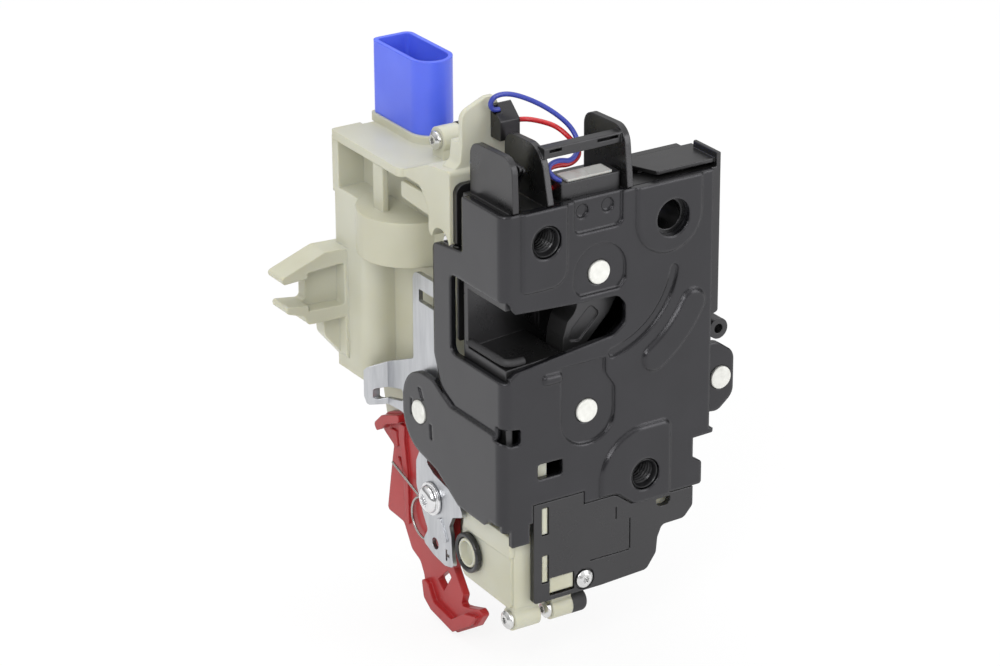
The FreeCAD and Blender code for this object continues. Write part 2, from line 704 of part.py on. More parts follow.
def build_mounting_nuts():
    """Threaded collars behind the plate for the two M8 door screws."""
    nuts = []
    for number, (x, z) in enumerate(((0, 0), (lower_fixing_x, lower_fixing_z))):
        nut = turned(f"nut_{number + 1}", "Y", (x, 0, z), [
            (thread_radius, -0.1), (thread_radius + 0.8, -0.6),
            (fixing_hole_radius - 0.1, -0.6), (fixing_hole_radius - 0.1, plate_thickness),
            (nut_radius, plate_thickness), (nut_radius, plate_thickness + nut_length - 1.0),
            (nut_radius - 1.0, plate_thickness + nut_length),
            (thread_radius, plate_thickness + nut_length),
        ])
        nuts.append(nut)
    return group("mounting_nuts", nuts)


def build_catch():
    """Rotary catch: a hub with a hooked jaw and a longer strike jaw round the striker slot.

    It is drawn with the slot pointing down, then turned to the open position."""
    catch = new_body("rotary_catch", at=(catch_x, 0, catch_z),
                     turn=((0, 1, 0), catch_open_angle))
    half_slot = catch_slot / 2
    slot_top = Size(-8.4, "(0 - 8.4)")
    slab(catch, "face", [
        [(-half_slot, -17.4, 2.0), (-half_slot, slot_top, half_slot - 0.05),
         (half_slot, slot_top, half_slot - 0.05), (half_slot, -16.6, 2.0), (8.4, -20.8, 0.6),
         (12.2, -25.2, 1.2), (16.4, -19.6, 3.0), (16.0, -6.0, 6.0), (12.8, 5.0, 6.0),
         (7.0, 11.2, 5.0), (-6.5, 11.2, 5.0), (-12.6, 4.0, 6.0), (-13.6, -13.0, 4.0),
         (-9.5, -18.6, 2.0)],
        Ring(0, 0, pivot_radius + running_gap),
    ], catch_front, catch_front + catch_thickness)
    # the plastic coat is recessed over the steel core on both faces
    cut(catch, "face", [[(8.8, -8.0, 1.5), (13.6, -8.0, 1.5), (13.8, -18.4, 1.5),
                         (10.6, -20.6, 1.0), (8.8, -17.0, 1.5)]],
        catch_front - 0.5, catch_front + 0.7)
    return catch


def build_pawl():
    """Pawl: a hub and a strut whose end drops in front of the strike jaw."""
    pawl = new_body("pawl", at=(pawl_x, 0, pawl_z), turn=((0, 1, 0), pawl_rest_angle))
    front = catch_front + 1.0
    slab(pawl, "face", [
        [(-2.6, 27.1, 0.5), (4.6, 27.1, 1.2), (7.6, 14.0, 6.0), (7.8, -6.4, 6.0),
         (-7.4, -7.6, 6.0), (-7.4, 7.0, 5.0), (-2.2, 14.0, 5.0)],
        Ring(0, 0, pivot_radius + running_gap),
    ], front, front + pawl_thickness)
    return pawl


def wire_path(points, radii):
    """Path of straight runs joined by tangent arcs, through the points given."""
    vectors = [Vector(*p) for p in points]
    edges = []
    last = vectors[0]
    for i in range(1, len(vectors) - 1):
        start, finish, centre = corner_points(vectors[i - 1], vectors[i], vectors[i + 1],
                                              radii[i - 1])
        middle = centre + (vectors[i] - centre).normalize() * radii[i - 1]
        edges.append(Part.LineSegment(last, start).toShape())
        edges.append(Part.Arc(start, middle, finish).toShape())
        last = finish
    edges.append(Part.LineSegment(last, vectors[-1]).toShape())
    return Part.Wire(edges)


def wire_along(path, diameter):
    """Round wire swept along a path."""
    first = path.Edges[0]
    start = first.valueAt(first.FirstParameter)
    heading = first.tangentAt(first.FirstParameter)
    section = Part.Wire([Part.makeCircle(diameter / 2, start, heading)])
    return path.makePipeShell([section], True, False)


def bend_radii(points, share=0.45):
    """Largest arc that each turn of a route allows, from the shorter run beside it."""
    vectors = [Vector(*p) for p in points]
    radii = []
    for i in range(1, len(vectors) - 1):
        before = vectors[i] - vectors[i - 1]
        after = vectors[i + 1] - vectors[i]
        turn = before.getAngle(after)
        radii.append(share * min(before.Length, after.Length) / math.tan(turn / 2))
    return radii


def torsion_spring(label, centre, axis, mean_radius, wire, turns, leg, start_angle, tail=0):
    """Coil of round wire with a straight leg at its start and, where given, one at its end."""
    pitch = wire * 1.12
    helix = Part.makeHelix(pitch, pitch * turns, mean_radius)
    section = Part.Wire([Part.makeCircle(wire / 2, Vector(mean_radius, 0, 0), Vector(0, 1, 0))])
    coil = Part.Wire(helix.Edges).makePipeShell([section], True, True)
    arm = Part.makeCylinder(wire / 2, leg, Vector(mean_radius, 0, 0), Vector(0, -1, 0))
    shape = coil.fuse(arm)
    if tail > 0:
        end = Vector(mean_radius, 0, pitch * turns)
        shape = shape.fuse(Part.makeCylinder(wire / 2, tail, end, Vector(0, 1, 0)))
    shape = shape.removeSplitter()
    shape.rotate(Vector(0, 0, 0), Vector(0, 0, 1), start_angle)
    if axis == "Y":
        shape.rotate(Vector(0, 0, 0), Vector(1, 0, 0), -90)
    else:
        shape.rotate(Vector(0, 0, 0), Vector(0, 1, 0), -90)
    return shape_piece(label, shape, centre)


def build_side_bracket():
    """Steel ear on the right flank, riveted to the lug of the housing."""
    bracket = new_body("side_bracket")
    slab(bracket, "face", [
        [(58.2, -53.0, 1.0), (71.5, -53.0, 4.0), (77.6, -57.5, 5.0), (77.6, -71.5, 5.0),
         (72.0, -76.2, 4.0), (58.2, -74.5, 1.0)],
        Ring(72.7, -65.1, rivet_radius + running_gap),
    ], Size(14.0, "14.0"), Size(16.0, "16.0"))
    return bracket


def build_position_switch():
    """Small switch block under the bridge, potted with a pale cap."""
    block = new_body("switch_block")
    slab(block, "top", [box_outline(7.4, 3.0, 27.8, 10.4, 0.5)], housing_top, Size(14.9, "14.9"))
    cap = new_body("switch_cap")
    slab(cap, "top", [box_outline(10.0, 3.6, 25.4, 9.8, 0.4)], Size(14.9, "14.9"),
         Size(15.6, "15.6"))


def unit_outline(inset=0):
    """Side outline of the locking unit, less an inset all round."""
    return [
        (gasket_back + inset, 12.0 - inset), (40.0, 12.0 - inset, 2.0),
        (54.0, unit_top - inset, 2.0), (unit_back - inset, unit_top - inset, 2.0),
        (unit_back - inset, column_bottom + inset, 3.0),
        (84.0 - inset, column_bottom - 1.5 + inset, 3.0), (81.0 - inset, -84.0 + inset, 2.0),
        (70.0 - inset, -86.0 + inset, 3.0), (52.0 - inset, -112.0 + inset, 5.0),
        (46.0 - inset, unit_bottom + inset, 3.0), (gasket_back + inset, unit_bottom + inset),
    ]


def build_actuator_housing():
    """Inboard half of the unit: one large moulding with deck, drum, column and cable fork."""
    shell = new_body("actuator_housing")
    slab(shell, "side", [unit_outline()], unit_face, unit_split)
    # frame beside the latch, and the upright that carries the wire connector
    slab(shell, "side", [[
        (gasket_back, 15.0, 1.5), (40.5, 13.6, 6.0), (54.0, unit_top, 5.0), (61.0, unit_top),
        (61.0, 5.8), (45.0, 5.8, 4.0), (40.5, 0.0, 4.0), (40.5, -8.0, 2.0),
        (gasket_back, -8.0, 1.0),
    ]], flange_face, unit_face)
    slab(shell, "face", [[
        (-9.2, 9.0), (-9.2, 31.4, 3.5), (-1.0, 35.0, 1.5), (2.0, 35.0, 1.0), (8.0, 22.0, 2.0),
        (8.0, 9.0),
    ]], Size(30.0, "30.0"), Size(31.8, "31.8"))
    slab(shell, "face", [[
        (-12.4, 9.0), (-12.0, 14.5), (-9.8, 16.4, 2.5), (-9.2, 22.0), (-4.0, 22.0), (-4.0, 9.0),
    ]], Size(30.0, "30.0"), Size(36.0, "36.0"))
    # seat of the frame screw, tucked behind the edge of the flange
    slab(shell, "side", [Ring(frame_screw_y, frame_screw_z, 5.2)], frame_screw_seat, unit_face + 1)
    cut(shell, "side", [Ring(frame_screw_y, frame_screw_z, 5.0)], flange_face - 1,
        frame_screw_seat)
    # deck, corner post and end wall over the drum
    slab(shell, "top", [[
        (column_face - 0.9, 54.0, 3.0), (unit_face + 1, 54.0), (unit_face + 1, unit_back),
        (column_face - 0.5, unit_back, 1.5),
    ]], unit_top - 2.7, unit_top)
    slab(shell, "side", [box_outline(66.0, -12.0, 71.5, unit_top - 2)], column_face,
         column_face + 2.0)
    slab(shell, "side", [box_outline(unit_back - 3.5, -12.0, unit_back, unit_top - 2)],
         column_face, unit_face)
    # stiffening rib from the frame towards the drum
    slab(shell, "side", [[
        (40.0, -3.0), (57.7, -2.0, 1.0), (57.7, 3.2, 1.0), (40.0, 3.2),
    ]], Size(-13.5, "(0 - 13.5)"), Size(-12.0, "(0 - 12.0)"))
    # column
    slab(shell, "top", [[
        (column_face, column_front, 6.0), (unit_face + 1, column_front),
        (unit_face + 1, unit_back), (column_face, unit_back, 1.5),
    ]], column_bottom, Size(-10.0, "(0 - 10.0)"))
    # drum
    curve = drum_radius - 0.05
    slab(shell, "top", [[
        (unit_split - 1, drum_y - drum_radius), (drum_x - drum_radius, drum_y - drum_radius, curve),
        (drum_x - drum_radius, drum_y + drum_radius, curve),
        (unit_split - 1, drum_y + drum_radius),
    ]], drum_bottom, drum_top)
    # raised pad under the connector
    slab(shell, "top", [[
        (socket_left - 0.9, socket_back - socket_length - 0.9, 7.0),
        (socket_left + socket_width + 0.9, socket_back - socket_length - 0.9, 7.0),
        (socket_left + socket_width + 0.9, socket_back, 2.0),
        (socket_left - 0.9, socket_back, 2.0),
    ]], unit_top, socket_base)
    # cable fork on the end wall
    fork_front = fork_back - fork_depth
    slab(shell, "face", [[
        (column_face + 1, -28.6), (-23.0, -28.2, 4.0), (-38.4, -33.8, 1.2), (-37.4, -35.8, 0.9),
        (-27.4, -35.3, 1.4), (-27.5, -44.7, 1.4), (-37.0, -43.3, 0.9), (-36.4, -45.6, 0.9),
        (-30.6, -47.6, 1.0), (-29.4, -50.6, 1.4), (-21.8, -51.0), (-21.4, -57.5, 4.0),
        (column_face + 1, -66.5),
    ]], fork_front, fork_back)
    cut(shell, "face", [[
        (-29.0, -33.6), (-16.2, -33.0, 1.0), (-16.2, -46.8, 1.0), (-29.0, -46.2),
    ]], fork_front - 0.5, fork_front + 5.0)
    cut(shell, "face", [[
        (-23.0, -50.9), (-16.0, -50.9), (-16.0, -66.5), (-23.0, -66.5),
    ]], fork_front - 0.5, fork_front + 4.0)
    # blade and block at the bottom front, beside the lower cover
    slab(shell, "side", [[
        (plate_thickness + fit_gap, -92.6, 0.5), (28.4, -92.6, 1.0), (28.4, -99.7),
        (plate_thickness + fit_gap, -99.7, 0.5),
    ]], Size(-11.0, "(0 - 11.0)"), Size(-9.4, "(0 - 9.4)"))
    slab(shell, "side", [[
        (3.0, -99.0, 1.0), (30.0, -99.0, 1.0), (31.0, unit_bottom + 0.8, 3.0),
        (3.0, unit_bottom, 2.0),
    ]], Size(-10.2, "(0 - 10.2)"), unit_face)
    # tray behind the lower cover
    slab(shell, "face", [[
        (-9.5, -92.6), (-3.2, -92.6), (-3.2, -84.0), (11.8, -84.0), (11.8, -92.6),
        (51.0, -92.6, 1.0), (51.0, -98.0, 1.0), (39.6, -99.5, 1.0), (36.0, -113.4, 2.0),
        (20.0, -114.2), (2.0, -114.2), (2.0, unit_bottom), (-9.5, unit_bottom, 1.0),
    ]], cover_thickness + 0.6, Size(15.0, "15.0"))
    slab(shell, "face", [[
        (-9.5, -92.6), (unit_split, -92.6), (unit_split, unit_bottom), (-9.5, unit_bottom),
    ]], Size(14.0, "14.0"), gasket_back + 1)
    # latching tongues that show in the windows of the cover
    slab(shell, "face", [
        box_outline(-0.9, -93.4, 1.0, -84.9), box_outline(-0.9, -109.3, 1.0, -100.6),
        box_outline(1.8, -113.4, 10.1, -108.6),
    ], Size(0.4, "0.4"), cover_thickness + 0.8)
    # screw bosses
    slab(shell, "side", [Ring(lug_y, lug_z, lug_radius)], Size(-9.4, "(0 - 9.4)"),
         Size(11.0, "11.0"))
    slab(shell, "side", [box_outline(lug_y - 2.2, lug_z, lug_y + 2.2, unit_bottom + 2)],
         Size(-9.4, "(0 - 9.4)"), Size(1.8, "1.8"))
    slab(shell, "side", [box_outline(lug_y - 2.2, lug_z, lug_y + 2.2, Size(-113.0, "(0 - 113.0)"))],
         Size(4.0, "4.0"), Size(11.0, "11.0"))
    cut(shell, "side", [box_outline(lug_y - 4.5, lug_z - 5, lug_y + 4.5, unit_bottom - 0.4)],
         Size(-0.6, "(0 - 0.6)"), Size(4.0, "4.0"))
    slab(shell, "side", [Ring(57.0, 13.6, 4.0)], Size(-1.0, "(0 - 1.0)"), Size(5.6, "5.6"))
    slab(shell, "side", [box_outline(54.0, unit_top - 1, 60.0, 13.0)],
         Size(-1.0, "(0 - 1.0)"), Size(5.6, "5.6"))
    slab(shell, "side", [Ring(lever_screw_y, lever_screw_z, 4.0)],
         red_lever_face + red_lever_thickness + 0.2, unit_face)
    # hollow of the gear chamber
    cut(shell, "side", [[
        (gasket_back + 4, 4.0, 2.0), (unit_back - unit_wall, 4.0, 2.0),
        (unit_back - unit_wall, column_bottom + unit_wall, 3.0), (78.0, column_bottom + 1, 3.0),
        (66.0, -83.0, 3.0), (gasket_back + 4, -83.0, 3.0),
    ]], unit_face + unit_wall, unit_split + 0.5)
    # bores for the pivot screw, the key follower and the housing screws
    cut(shell, "side", [Ring(lever_screw_y, lever_screw_z, 2.05)],
        red_lever_face, unit_face + 8)
    cut(shell, "side", [Ring(follower_y, follower_z, follower_radius + running_gap)],
        Size(-11.5, "(0 - 11.5)"), unit_face + 5)
    cut(shell, "side", [Ring(57.0, 13.6, 1.6)], Size(-2.0, "(0 - 2.0)"), unit_split + 1)
    cut(shell, "side", [Ring(lug_y, lug_z, 1.6)], Size(-10.0, "(0 - 10.0)"), Size(12.0, "12.0"))
    cut(shell, "side", [Ring(frame_screw_y, frame_screw_z, 2.05)], flange_face - 1, unit_face)
    cut(shell, "face", [Ring(cover_screw_x, cover_screw_z, 1.26)], Size(1.0, "1.0"),
        Size(12.0, "12.0"))
    return shell


def build_actuator_cover():
    """Outboard half of the unit, a flat tub that closes the gear chamber."""
    cover = new_body("actuator_cover")
    slab(cover, "side", [[
        (gasket_back + 1.4, unit_top, 1.0), (unit_back, unit_top, 2.0),
        (unit_back, column_bottom, 3.0), (84.0, column_bottom - 1.5, 3.0), (81.0, -84.0, 2.0),
        (70.0, -86.0, 3.0), (52.0, -112.0, 5.0), (46.0, unit_bottom, 3.0),
        (gasket_back + 1.4, unit_bottom, 2.0),
    ]], unit_split, unit_outboard)
    slab(cover, "side", [Ring(57.0, 13.6, 4.2)], unit_split, unit_outboard - 3)
    slab(cover, "side", [box_outline(53.6, unit_top - 1, 60.4, 13.0)],
         unit_split, unit_outboard - 3)
    cut(cover, "side", [[
        (gasket_back + 4, 4.0, 2.0), (unit_back - unit_wall, 4.0, 2.0),
        (unit_back - unit_wall, column_bottom + unit_wall, 3.0), (78.0, column_bottom + 1, 3.0),
        (66.0, -83.0, 3.0), (gasket_back + 4, -83.0, 3.0),
    ]], unit_split - 0.5, unit_outboard - unit_wall)
    cut(cover, "side", [Ring(57.0, 13.6, 1.3)], unit_split - 1, unit_outboard - 4)
    cut(cover, "side", [Ring(drum_y, Size(-78.0, "(0 - 78.0)"), 2.4)], unit_outboard - 1.0,
        unit_outboard + 1)
    return cover


def build_connector():
    """Socket of the wiring plug: a tall D-shaped shroud with its contact blades."""
    shroud = new_body("connector_shroud")
    front = socket_back - socket_length
    right = socket_left + socket_width
    slab(shroud, "top", [[
        (socket_left, front, 6.8), (right, front, 6.8), (right, socket_back, 2.5),
        (socket_left, socket_back, 2.5),
    ]], socket_base, socket_top)
    cut(shroud, "top", [[
        (socket_left + socket_wall, front + socket_wall, 5.4),
        (right - socket_wall, front + socket_wall, 5.4),
        (right - socket_wall, socket_back - socket_wall, 1.4),
        (socket_left + socket_wall, socket_back - socket_wall, 1.4),
    ]], socket_base + 3, socket_top + 1)
    blades = new_body("contact_blades")
    loops = []
    for row in range(2):
        for column in range(4):
            left = socket_left + 4.0 + row * 4.4
            start = front + 6.0 + column * 5.2
            loops.append(box_outline(left, start, left + 0.8, start + 2.4))
    slab(blades, "top", loops, socket_base + 3, socket_base + 13)


def build_wire_connector():
    """Sloping black plug on the upright, where the two switch leads start."""
    plug = new_body("wire_connector")
    slab(plug, "side", [[
        (24.6, 22.6, 0.4), (24.6, 28.6, 0.4), (30.0, 33.2, 0.4), (30.0, 22.6, 0.4),
    ]], Size(0.6, "0.6"), Size(7.2, "7.2"))
    # notch at the upper left edge where the blue lead comes out
    cut(plug, "side", [box_outline(27.0, 30.1, 29.2, 34.0)], Size(0.1, "0.1"), Size(2.4, "2.4"))
    return plug


def build_lower_cover():
    """Black cover flush with the face, with windows over the latching tongues."""
    cover = new_body("lower_cover")
    slab(cover, "face", [
        [(cover_left, -83.0), (13.6, -83.0), (13.6, -87.0), (25.2, -87.0, 4.0),
         (30.8, -91.3), (53.2, -91.3), (53.2, -97.5, 2.0), (50.0, -101.0, 2.5),
         (42.0, -101.2, 2.0), (40.4, -105.0, 2.0), (39.9, -110.0, 2.0), (36.5, -114.8, 2.5),
         (20.0, cover_bottom), (cover_left, cover_bottom, 1.0)],
        box_outline(-1.2, -93.7, 1.3, -84.6, 0.4),
        box_outline(-1.2, -109.6, 1.3, -100.3, 0.4),
        box_outline(1.5, -114.2, 10.4, -108.3, 0.5),
        [(39.8, -92.2, 0.5), (39.8, -95.0, 2.0), (45.0, -95.0, 2.0), (45.0, -92.2, 0.5)],
    ], Size(0, "0"), cover_thickness)
    slab(cover, "face", [[
        (51.8, -91.3), (53.2, -91.3), (53.2, -97.5, 2.0), (50.0, -101.0, 2.5),
        (42.0, -101.2, 2.0), (40.4, -105.0, 2.0), (39.9, -110.0, 2.0), (36.5, -114.8, 2.5),
        (20.0, cover_bottom), (20.0, cover_bottom + 1.4), (35.6, -113.6, 1.4),
        (38.6, -109.6, 0.9), (39.0, -104.8, 1.2), (40.6, -100.0, 1.0), (49.2, -99.6, 1.2),
        (51.8, -97.2, 1.2),
    ]], cover_thickness, Size(9.0, "9.0"))
    # fine split lines moulded in the face
    cut(cover, "face", [
        box_outline(25.0, -95.0, 25.5, -91.0), box_outline(30.0, -106.0, 30.5, -95.8),
        box_outline(16.0, -106.5, 30.0, -106.1),
    ], Size(-0.1, "(0 - 0.1)"), Size(0.5, "0.5"))
    cut(cover, "face", [Ring(cover_screw_x, cover_screw_z, 3.5)], Size(-0.1, "(0 - 0.1)"),
        Size(0.9, "0.9"))
    cut(cover, "face", [Ring(cover_screw_x, cover_screw_z, 1.6)], Size(0.5, "0.5"),
        cover_thickness + 1)
    return cover


def build_screws():
    """Torx screws: three that clamp the housing and the one in the lower cover."""
    head = [(0, -2.0), (1.8, -2.0, 0.4), (2.9, -1.2, 0.4), (2.9, 0), (1.5, 0), (1.5, 7.0),
            (0, 7.0)]
    screws = []
    places = ((-1.0, 57.0, 13.6), (-9.4, lug_y, lug_z), (4.0, lug_y, lug_z))
    for number, place in enumerate(places):
        screw = turned(f"housing_screw_{number + 1}", "X", place, head)
        star_recess(screw, "side", Size(-2.1, "(0 - 2.1)"), 1.25)
        screws.append(screw)
    group("housing_screws", screws)
    cover_screw = turned("cover_screw", "Y", (cover_screw_x, 0.9, cover_screw_z), head[:4] + [
        (1.2, 0), (1.2, 7.0), (0, 7.0)])
    star_recess(cover_screw, "face", Size(-2.1, "(0 - 2.1)"), 1.25)


def star_recess(body, view, level, radius):
    """Six-lobed drive recess in a screw head."""
    corners = []
    for i in range(12):
        reach = radius if i % 2 == 0 else radius * 0.72
        angle = math.radians(30 * i)
        corners.append((reach * math.cos(angle), reach * math.sin(angle)))
    cut(body, view, [corners], level, level + 1.3)


def build_lever_screw():
    """Pan-head pivot screw of the two outer levers."""
    screw = turned("lever_screw", "X", (0, lever_screw_y, lever_screw_z), [
        (0, -16.5), (3.6, -16.5, 2.4), (5.3, -14.4, 0.5), (5.3, lock_lever_face - 0.1),
        (2.5, lock_lever_face - 0.1), (2.5, red_lever_face + red_lever_thickness + 0.15),
        (2.0, red_lever_face + red_lever_thickness + 0.15), (2.0, 1.0), (0, 1.0),
    ])
    star_recess(screw, "side", Size(-16.6, "(0 - 16.6)"), 1.8)
    return screw


def build_release_lever():
    """Inside-release lever: upright strip, hub on the ear rivet and a joggled cable end."""
    lever = new_body("release_lever")
    inner = release_face + lever_sheet
    strip_right = ear_y - 5.3
    slab(lever, "side", [
        [(strip_right, -24.6, 1.0), (54.4, -24.6, 3.0), (54.6, -53.6, 1.5), (70.2, -60.3),
         (70.2, -74.6), (62.0, -74.0, 4.0), (54.6, ear_z - 9.0, 7.0),
         (ear_y - 8.5, ear_z - 9.0, 8.0), (ear_y - 8.5, ear_z + 6.0, 6.0),
         (strip_right, ear_z + 12.0, 3.0)],
        box_outline(strip_right + 1.8, -33.6, 51.0, -29.6, 0.6),
        Ring(ear_y, ear_z, rivet_radius + running_gap),
    ], release_face, inner)
    # joggled end that stands outboard of the column
    end_face = column_face - fit_gap - lever_sheet - 0.1
    slab(lever, "top", [[
        (release_face, 69.4), (release_face, 70.2), (end_face, 73.2), (end_face, 76.4),
        (end_face + lever_sheet, 76.4), (end_face + lever_sheet, 73.8), (inner, 70.8), (inner, 69.4),
    ]], Size(-75.4, "(0 - 75.4)"), Size(-58.6, "(0 - 58.6)"))
    cut(lever, "side", [[(69.4, -60.0), (74.6, -62.9, 1.0), (79.0, -67.0), (79.0, -56.0),
                         (69.4, -56.0)]], end_face - 1, inner + 1)
    cut(lever, "side", [[(69.4, -74.6), (74.8, -75.0, 1.0), (79.0, -70.0), (79.0, -79.0),
                         (69.4, -79.0)]], end_face - 1, inner + 1)
    cut(lever, "side", [[(61.2, -66.4, 1.0), (61.2, -70.4, 1.0), (72.6, -73.2, 0.8),
                         (72.6, -69.6, 0.8)]], end_face - 1, inner + 1)
    return lever


def build_ear_rivet():
    """Rivet through the ear that the release lever turns on."""
    return turned("ear_rivet", "X", (0, ear_y, ear_z), [
        (0, flange_face - flange_step - 0.7), (rivet_radius - 0.3, flange_face - flange_step - 0.7),
        (rivet_radius, flange_face - flange_step - 0.4), (rivet_radius, -10.2), (5.2, -10.2),
        (5.2, -8.8), (0, -8.8),
    ])


def build_lock_lever():
    """Small silver lever on the pivot screw."""
    lever = new_body("lock_lever")
    slab(lever, "side", [
        [(49.2, -81.0, 1.4), (44.8, -82.4, 1.0), (45.8, -84.6, 0.8), (41.6, -86.8, 2.0),
         (32.0, -88.7, 2.0), (27.8, -89.6, 1.5), (25.2, -94.8, 0.8), (31.0, -97.2, 0.8),
         (33.0, -100.8, 1.5), (32.0, -104.1, 1.5), (31.6, -110.4, 1.5), (30.6, -114.0, 1.6),
         (35.7, -115.2, 2.0), (42.1, -114.2, 3.0), (48.6, -111.9, 1.6), (45.4, -107.0, 1.6),
         (48.2, -102.6, 3.0), (51.9, -94.3, 4.0), (51.9, -86.2, 3.0)],
        Ring(lever_screw_y, lever_screw_z, 2.5 + running_gap),
        Ring(41.2, -110.0, 1.9),
        [(33.0, -110.6), (33.0, -111.6), (34.3, -111.6), (34.3, -113.2), (35.3, -113.2),
         (35.3, -109.4), (34.3, -109.4), (34.3, -110.6)],
    ], lock_lever_face, lock_lever_face + lever_sheet - 0.1)
    # stiffening bead pressed into the sheet
    slab(lever, "side", [[(39.6, -100.6, 0.8), (37.4, -99.8, 0.8), (33.6, -106.4, 0.8),
                          (35.8, -107.4, 0.8)]], lock_lever_face - 0.5, lock_lever_face + 0.2)
    return lever


def build_red_lever():
    """Red plastic lever behind it: a ribbed hook above and a long foot below."""
    lever = new_body("red_lever")
    back = red_lever_face + red_lever_thickness
    slab(lever, "side", [
        [(79.4, -84.0, 1.6), (77.0, -86.8, 1.0), (71.2, -89.6, 1.0), (72.2, -94.0, 2.0),
         (75.8, -113.2, 1.2), (66.0, -113.8, 2.0), (61.4, -121.2, 3.0), (56.4, -123.2, 3.0),
         (54.2, -127.0, 3.0), (52.8, -134.0, 4.0), (48.6, -136.8, 2.0), (35.0, -139.0, 2.0),
         (23.8, -132.0, 2.0), (19.8, -126.4, 0.9), (22.0, -125.4, 0.7), (28.6, -127.6, 2.0),
         (32.6, -128.6, 0.8), (31.2, -124.6, 1.0), (36.4, -117.6, 1.0), (36.2, -100.0, 3.0),
         (30.5, -92.0, 3.0), (30.0, -82.8, 2.0), (47.0, -78.4, 3.0), (58.4, -79.2, 2.0),
         (62.6, -74.6, 1.6), (74.6, -79.6, 1.6)],
        [(40.2, -119.8, 0.5), (38.0, -121.2, 0.5), (42.6, -128.0, 0.5), (46.0, -125.2, 0.5)],
        [(69.2, -92.4, 0.5), (66.6, -92.0, 0.5), (62.0, -98.6, 0.5), (64.4, -99.4, 0.5)],
        Ring(lever_screw_y, lever_screw_z, 2.5 + running_gap),
    ], red_lever_face, back)
    # hooked head, stiffening ribs of the wing and rim of the foot
    slab(lever, "side", [[
        (79.0, -84.4, 1.2), (77.4, -86.4, 0.9), (74.2, -84.6, 1.5), (72.0, -82.2, 2.0),
        (64.4, -79.0, 1.0), (63.0, -75.8, 1.0), (74.2, -80.0, 2.0),
    ]], red_lever_face - 2.6, red_lever_face + 0.5)
    slab(lever, "side", [[
        (66.6, -80.2, 0.6), (66.8, -85.0, 1.5), (64.4, -96.6, 3.0), (63.4, -112.8, 0.6),
        (61.4, -112.8, 0.6), (61.8, -96.2, 3.0), (63.6, -84.6, 1.5), (63.2, -80.0, 0.6),
    ]], red_lever_face - 0.9, red_lever_face + 0.5)
    slab(lever, "side", [[
        (73.6, -84.2, 1.0), (70.4, -88.4, 1.0), (67.6, -90.4, 1.0), (68.8, -83.8, 1.0),
    ]], red_lever_face - 0.6, red_lever_face + 0.5)
    slab(lever, "side", [[
        (53.2, -127.6, 1.0), (52.0, -133.6, 2.0), (48.0, -136.2, 2.0), (35.2, -138.4, 1.0),
        (24.8, -131.8, 1.0), (21.2, -127.2, 0.4), (28.4, -129.2, 1.0), (36.0, -134.4, 2.0),
        (46.4, -133.0, 2.0), (50.0, -127.6, 1.0),
    ]], red_lever_face - 1.6, red_lever_face + 0.5)
    return lever


def build_key_follower():
    """Round follower that the key rod turns, with a cross slot."""
    follower = turned("key_follower", "X", (0, follower_y, follower_z), [
        (0, -9.0), (follower_radius - 1.1, -9.6, 0.5), (follower_radius - 0.8, -12.4),
        (follower_radius - 0.3, -12.4), (follower_radius, -12.0), (follower_radius, -2.0), (0, -2.0),
    ])
    cut(follower, "side", [box_outline(-0.8, -2.4, 0.8, 2.4, 0.4)], Size(-13.0, "(0 - 13.0)"),
        Size(-7.0, "(0 - 7.0)"))
    turned("follower_seal", "X", (0, follower_y, follower_z), [
        (follower_radius + 0.3, -10.9), (follower_radius + 0.3, -12.4),
        (follower_radius + 1.2, -12.8, 0.3), (6.3, -12.4, 0.4), (6.3, -10.9),
    ])


def build_gear_train():
    """Locking motor with its worm, and the worm wheel on its pin."""
    can_radius = 8.0
    turned("lock_motor", "Z", (worm_x, worm_y, 0), [
        (worm_radius / 3 + 0.3, -33.0), (3.0, -33.0), (3.0, -31.6), (can_radius, -31.6, 1.5),
        (can_radius, -2.0, 1.0), (0, -2.0), (0, -13.6), (worm_radius / 3 + 0.3, -13.6),
    ])
    worm = worm_shape()
    shape_piece("motor_worm", worm, (worm_x, worm_y, wheel_z))
    build_worm_wheel()
    turned("wheel_pin", "X", (0, float(worm_y) - centre_distance(), wheel_z), [
        (0, unit_face + unit_wall), (2.0, unit_face + unit_wall),
        (2.0, unit_outboard - unit_wall), (0, unit_outboard - unit_wall),
    ])


def wheel_pitch_radius():
    return float(worm_pitch) * float(wheel_teeth) / (2 * math.pi)


def centre_distance():
    """From the worm's axis to the wheel's axis."""
    return wheel_pitch_radius() + float(worm_radius) - 0.9


def worm_shape():
    """Shaft with one helical thread that starts and ends clear of the wheel."""
    pitch = float(worm_pitch)
    core = float(worm_radius) - 1.8
    length = 5 * pitch
    shaft = Part.makeCylinder(float(worm_radius) / 3, 46.0, Vector(0, 0, -12.0))
    barrel = Part.makeCylinder(core, length + 3.0, Vector(0, 0, -length / 2 - 1.5))
    helix = Part.makeHelix(pitch, length, core)
    inside = core - 0.3
    outside = float(worm_radius)
    root = 0.85
    crest = 0.38
    section = Part.makePolygon([
        Vector(inside, 0, -root), Vector(outside, 0, -crest), Vector(outside, 0, crest),
        Vector(inside, 0, root), Vector(inside, 0, -root),
    ])
    thread = Part.Wire(helix.Edges).makePipeShell([section], True, True)
    thread.rotate(Vector(0, 0, 0), Vector(0, 0, 1), 90)
    thread.translate(Vector(0, 0, -length / 2))
    return shaft.fuse([barrel, thread])


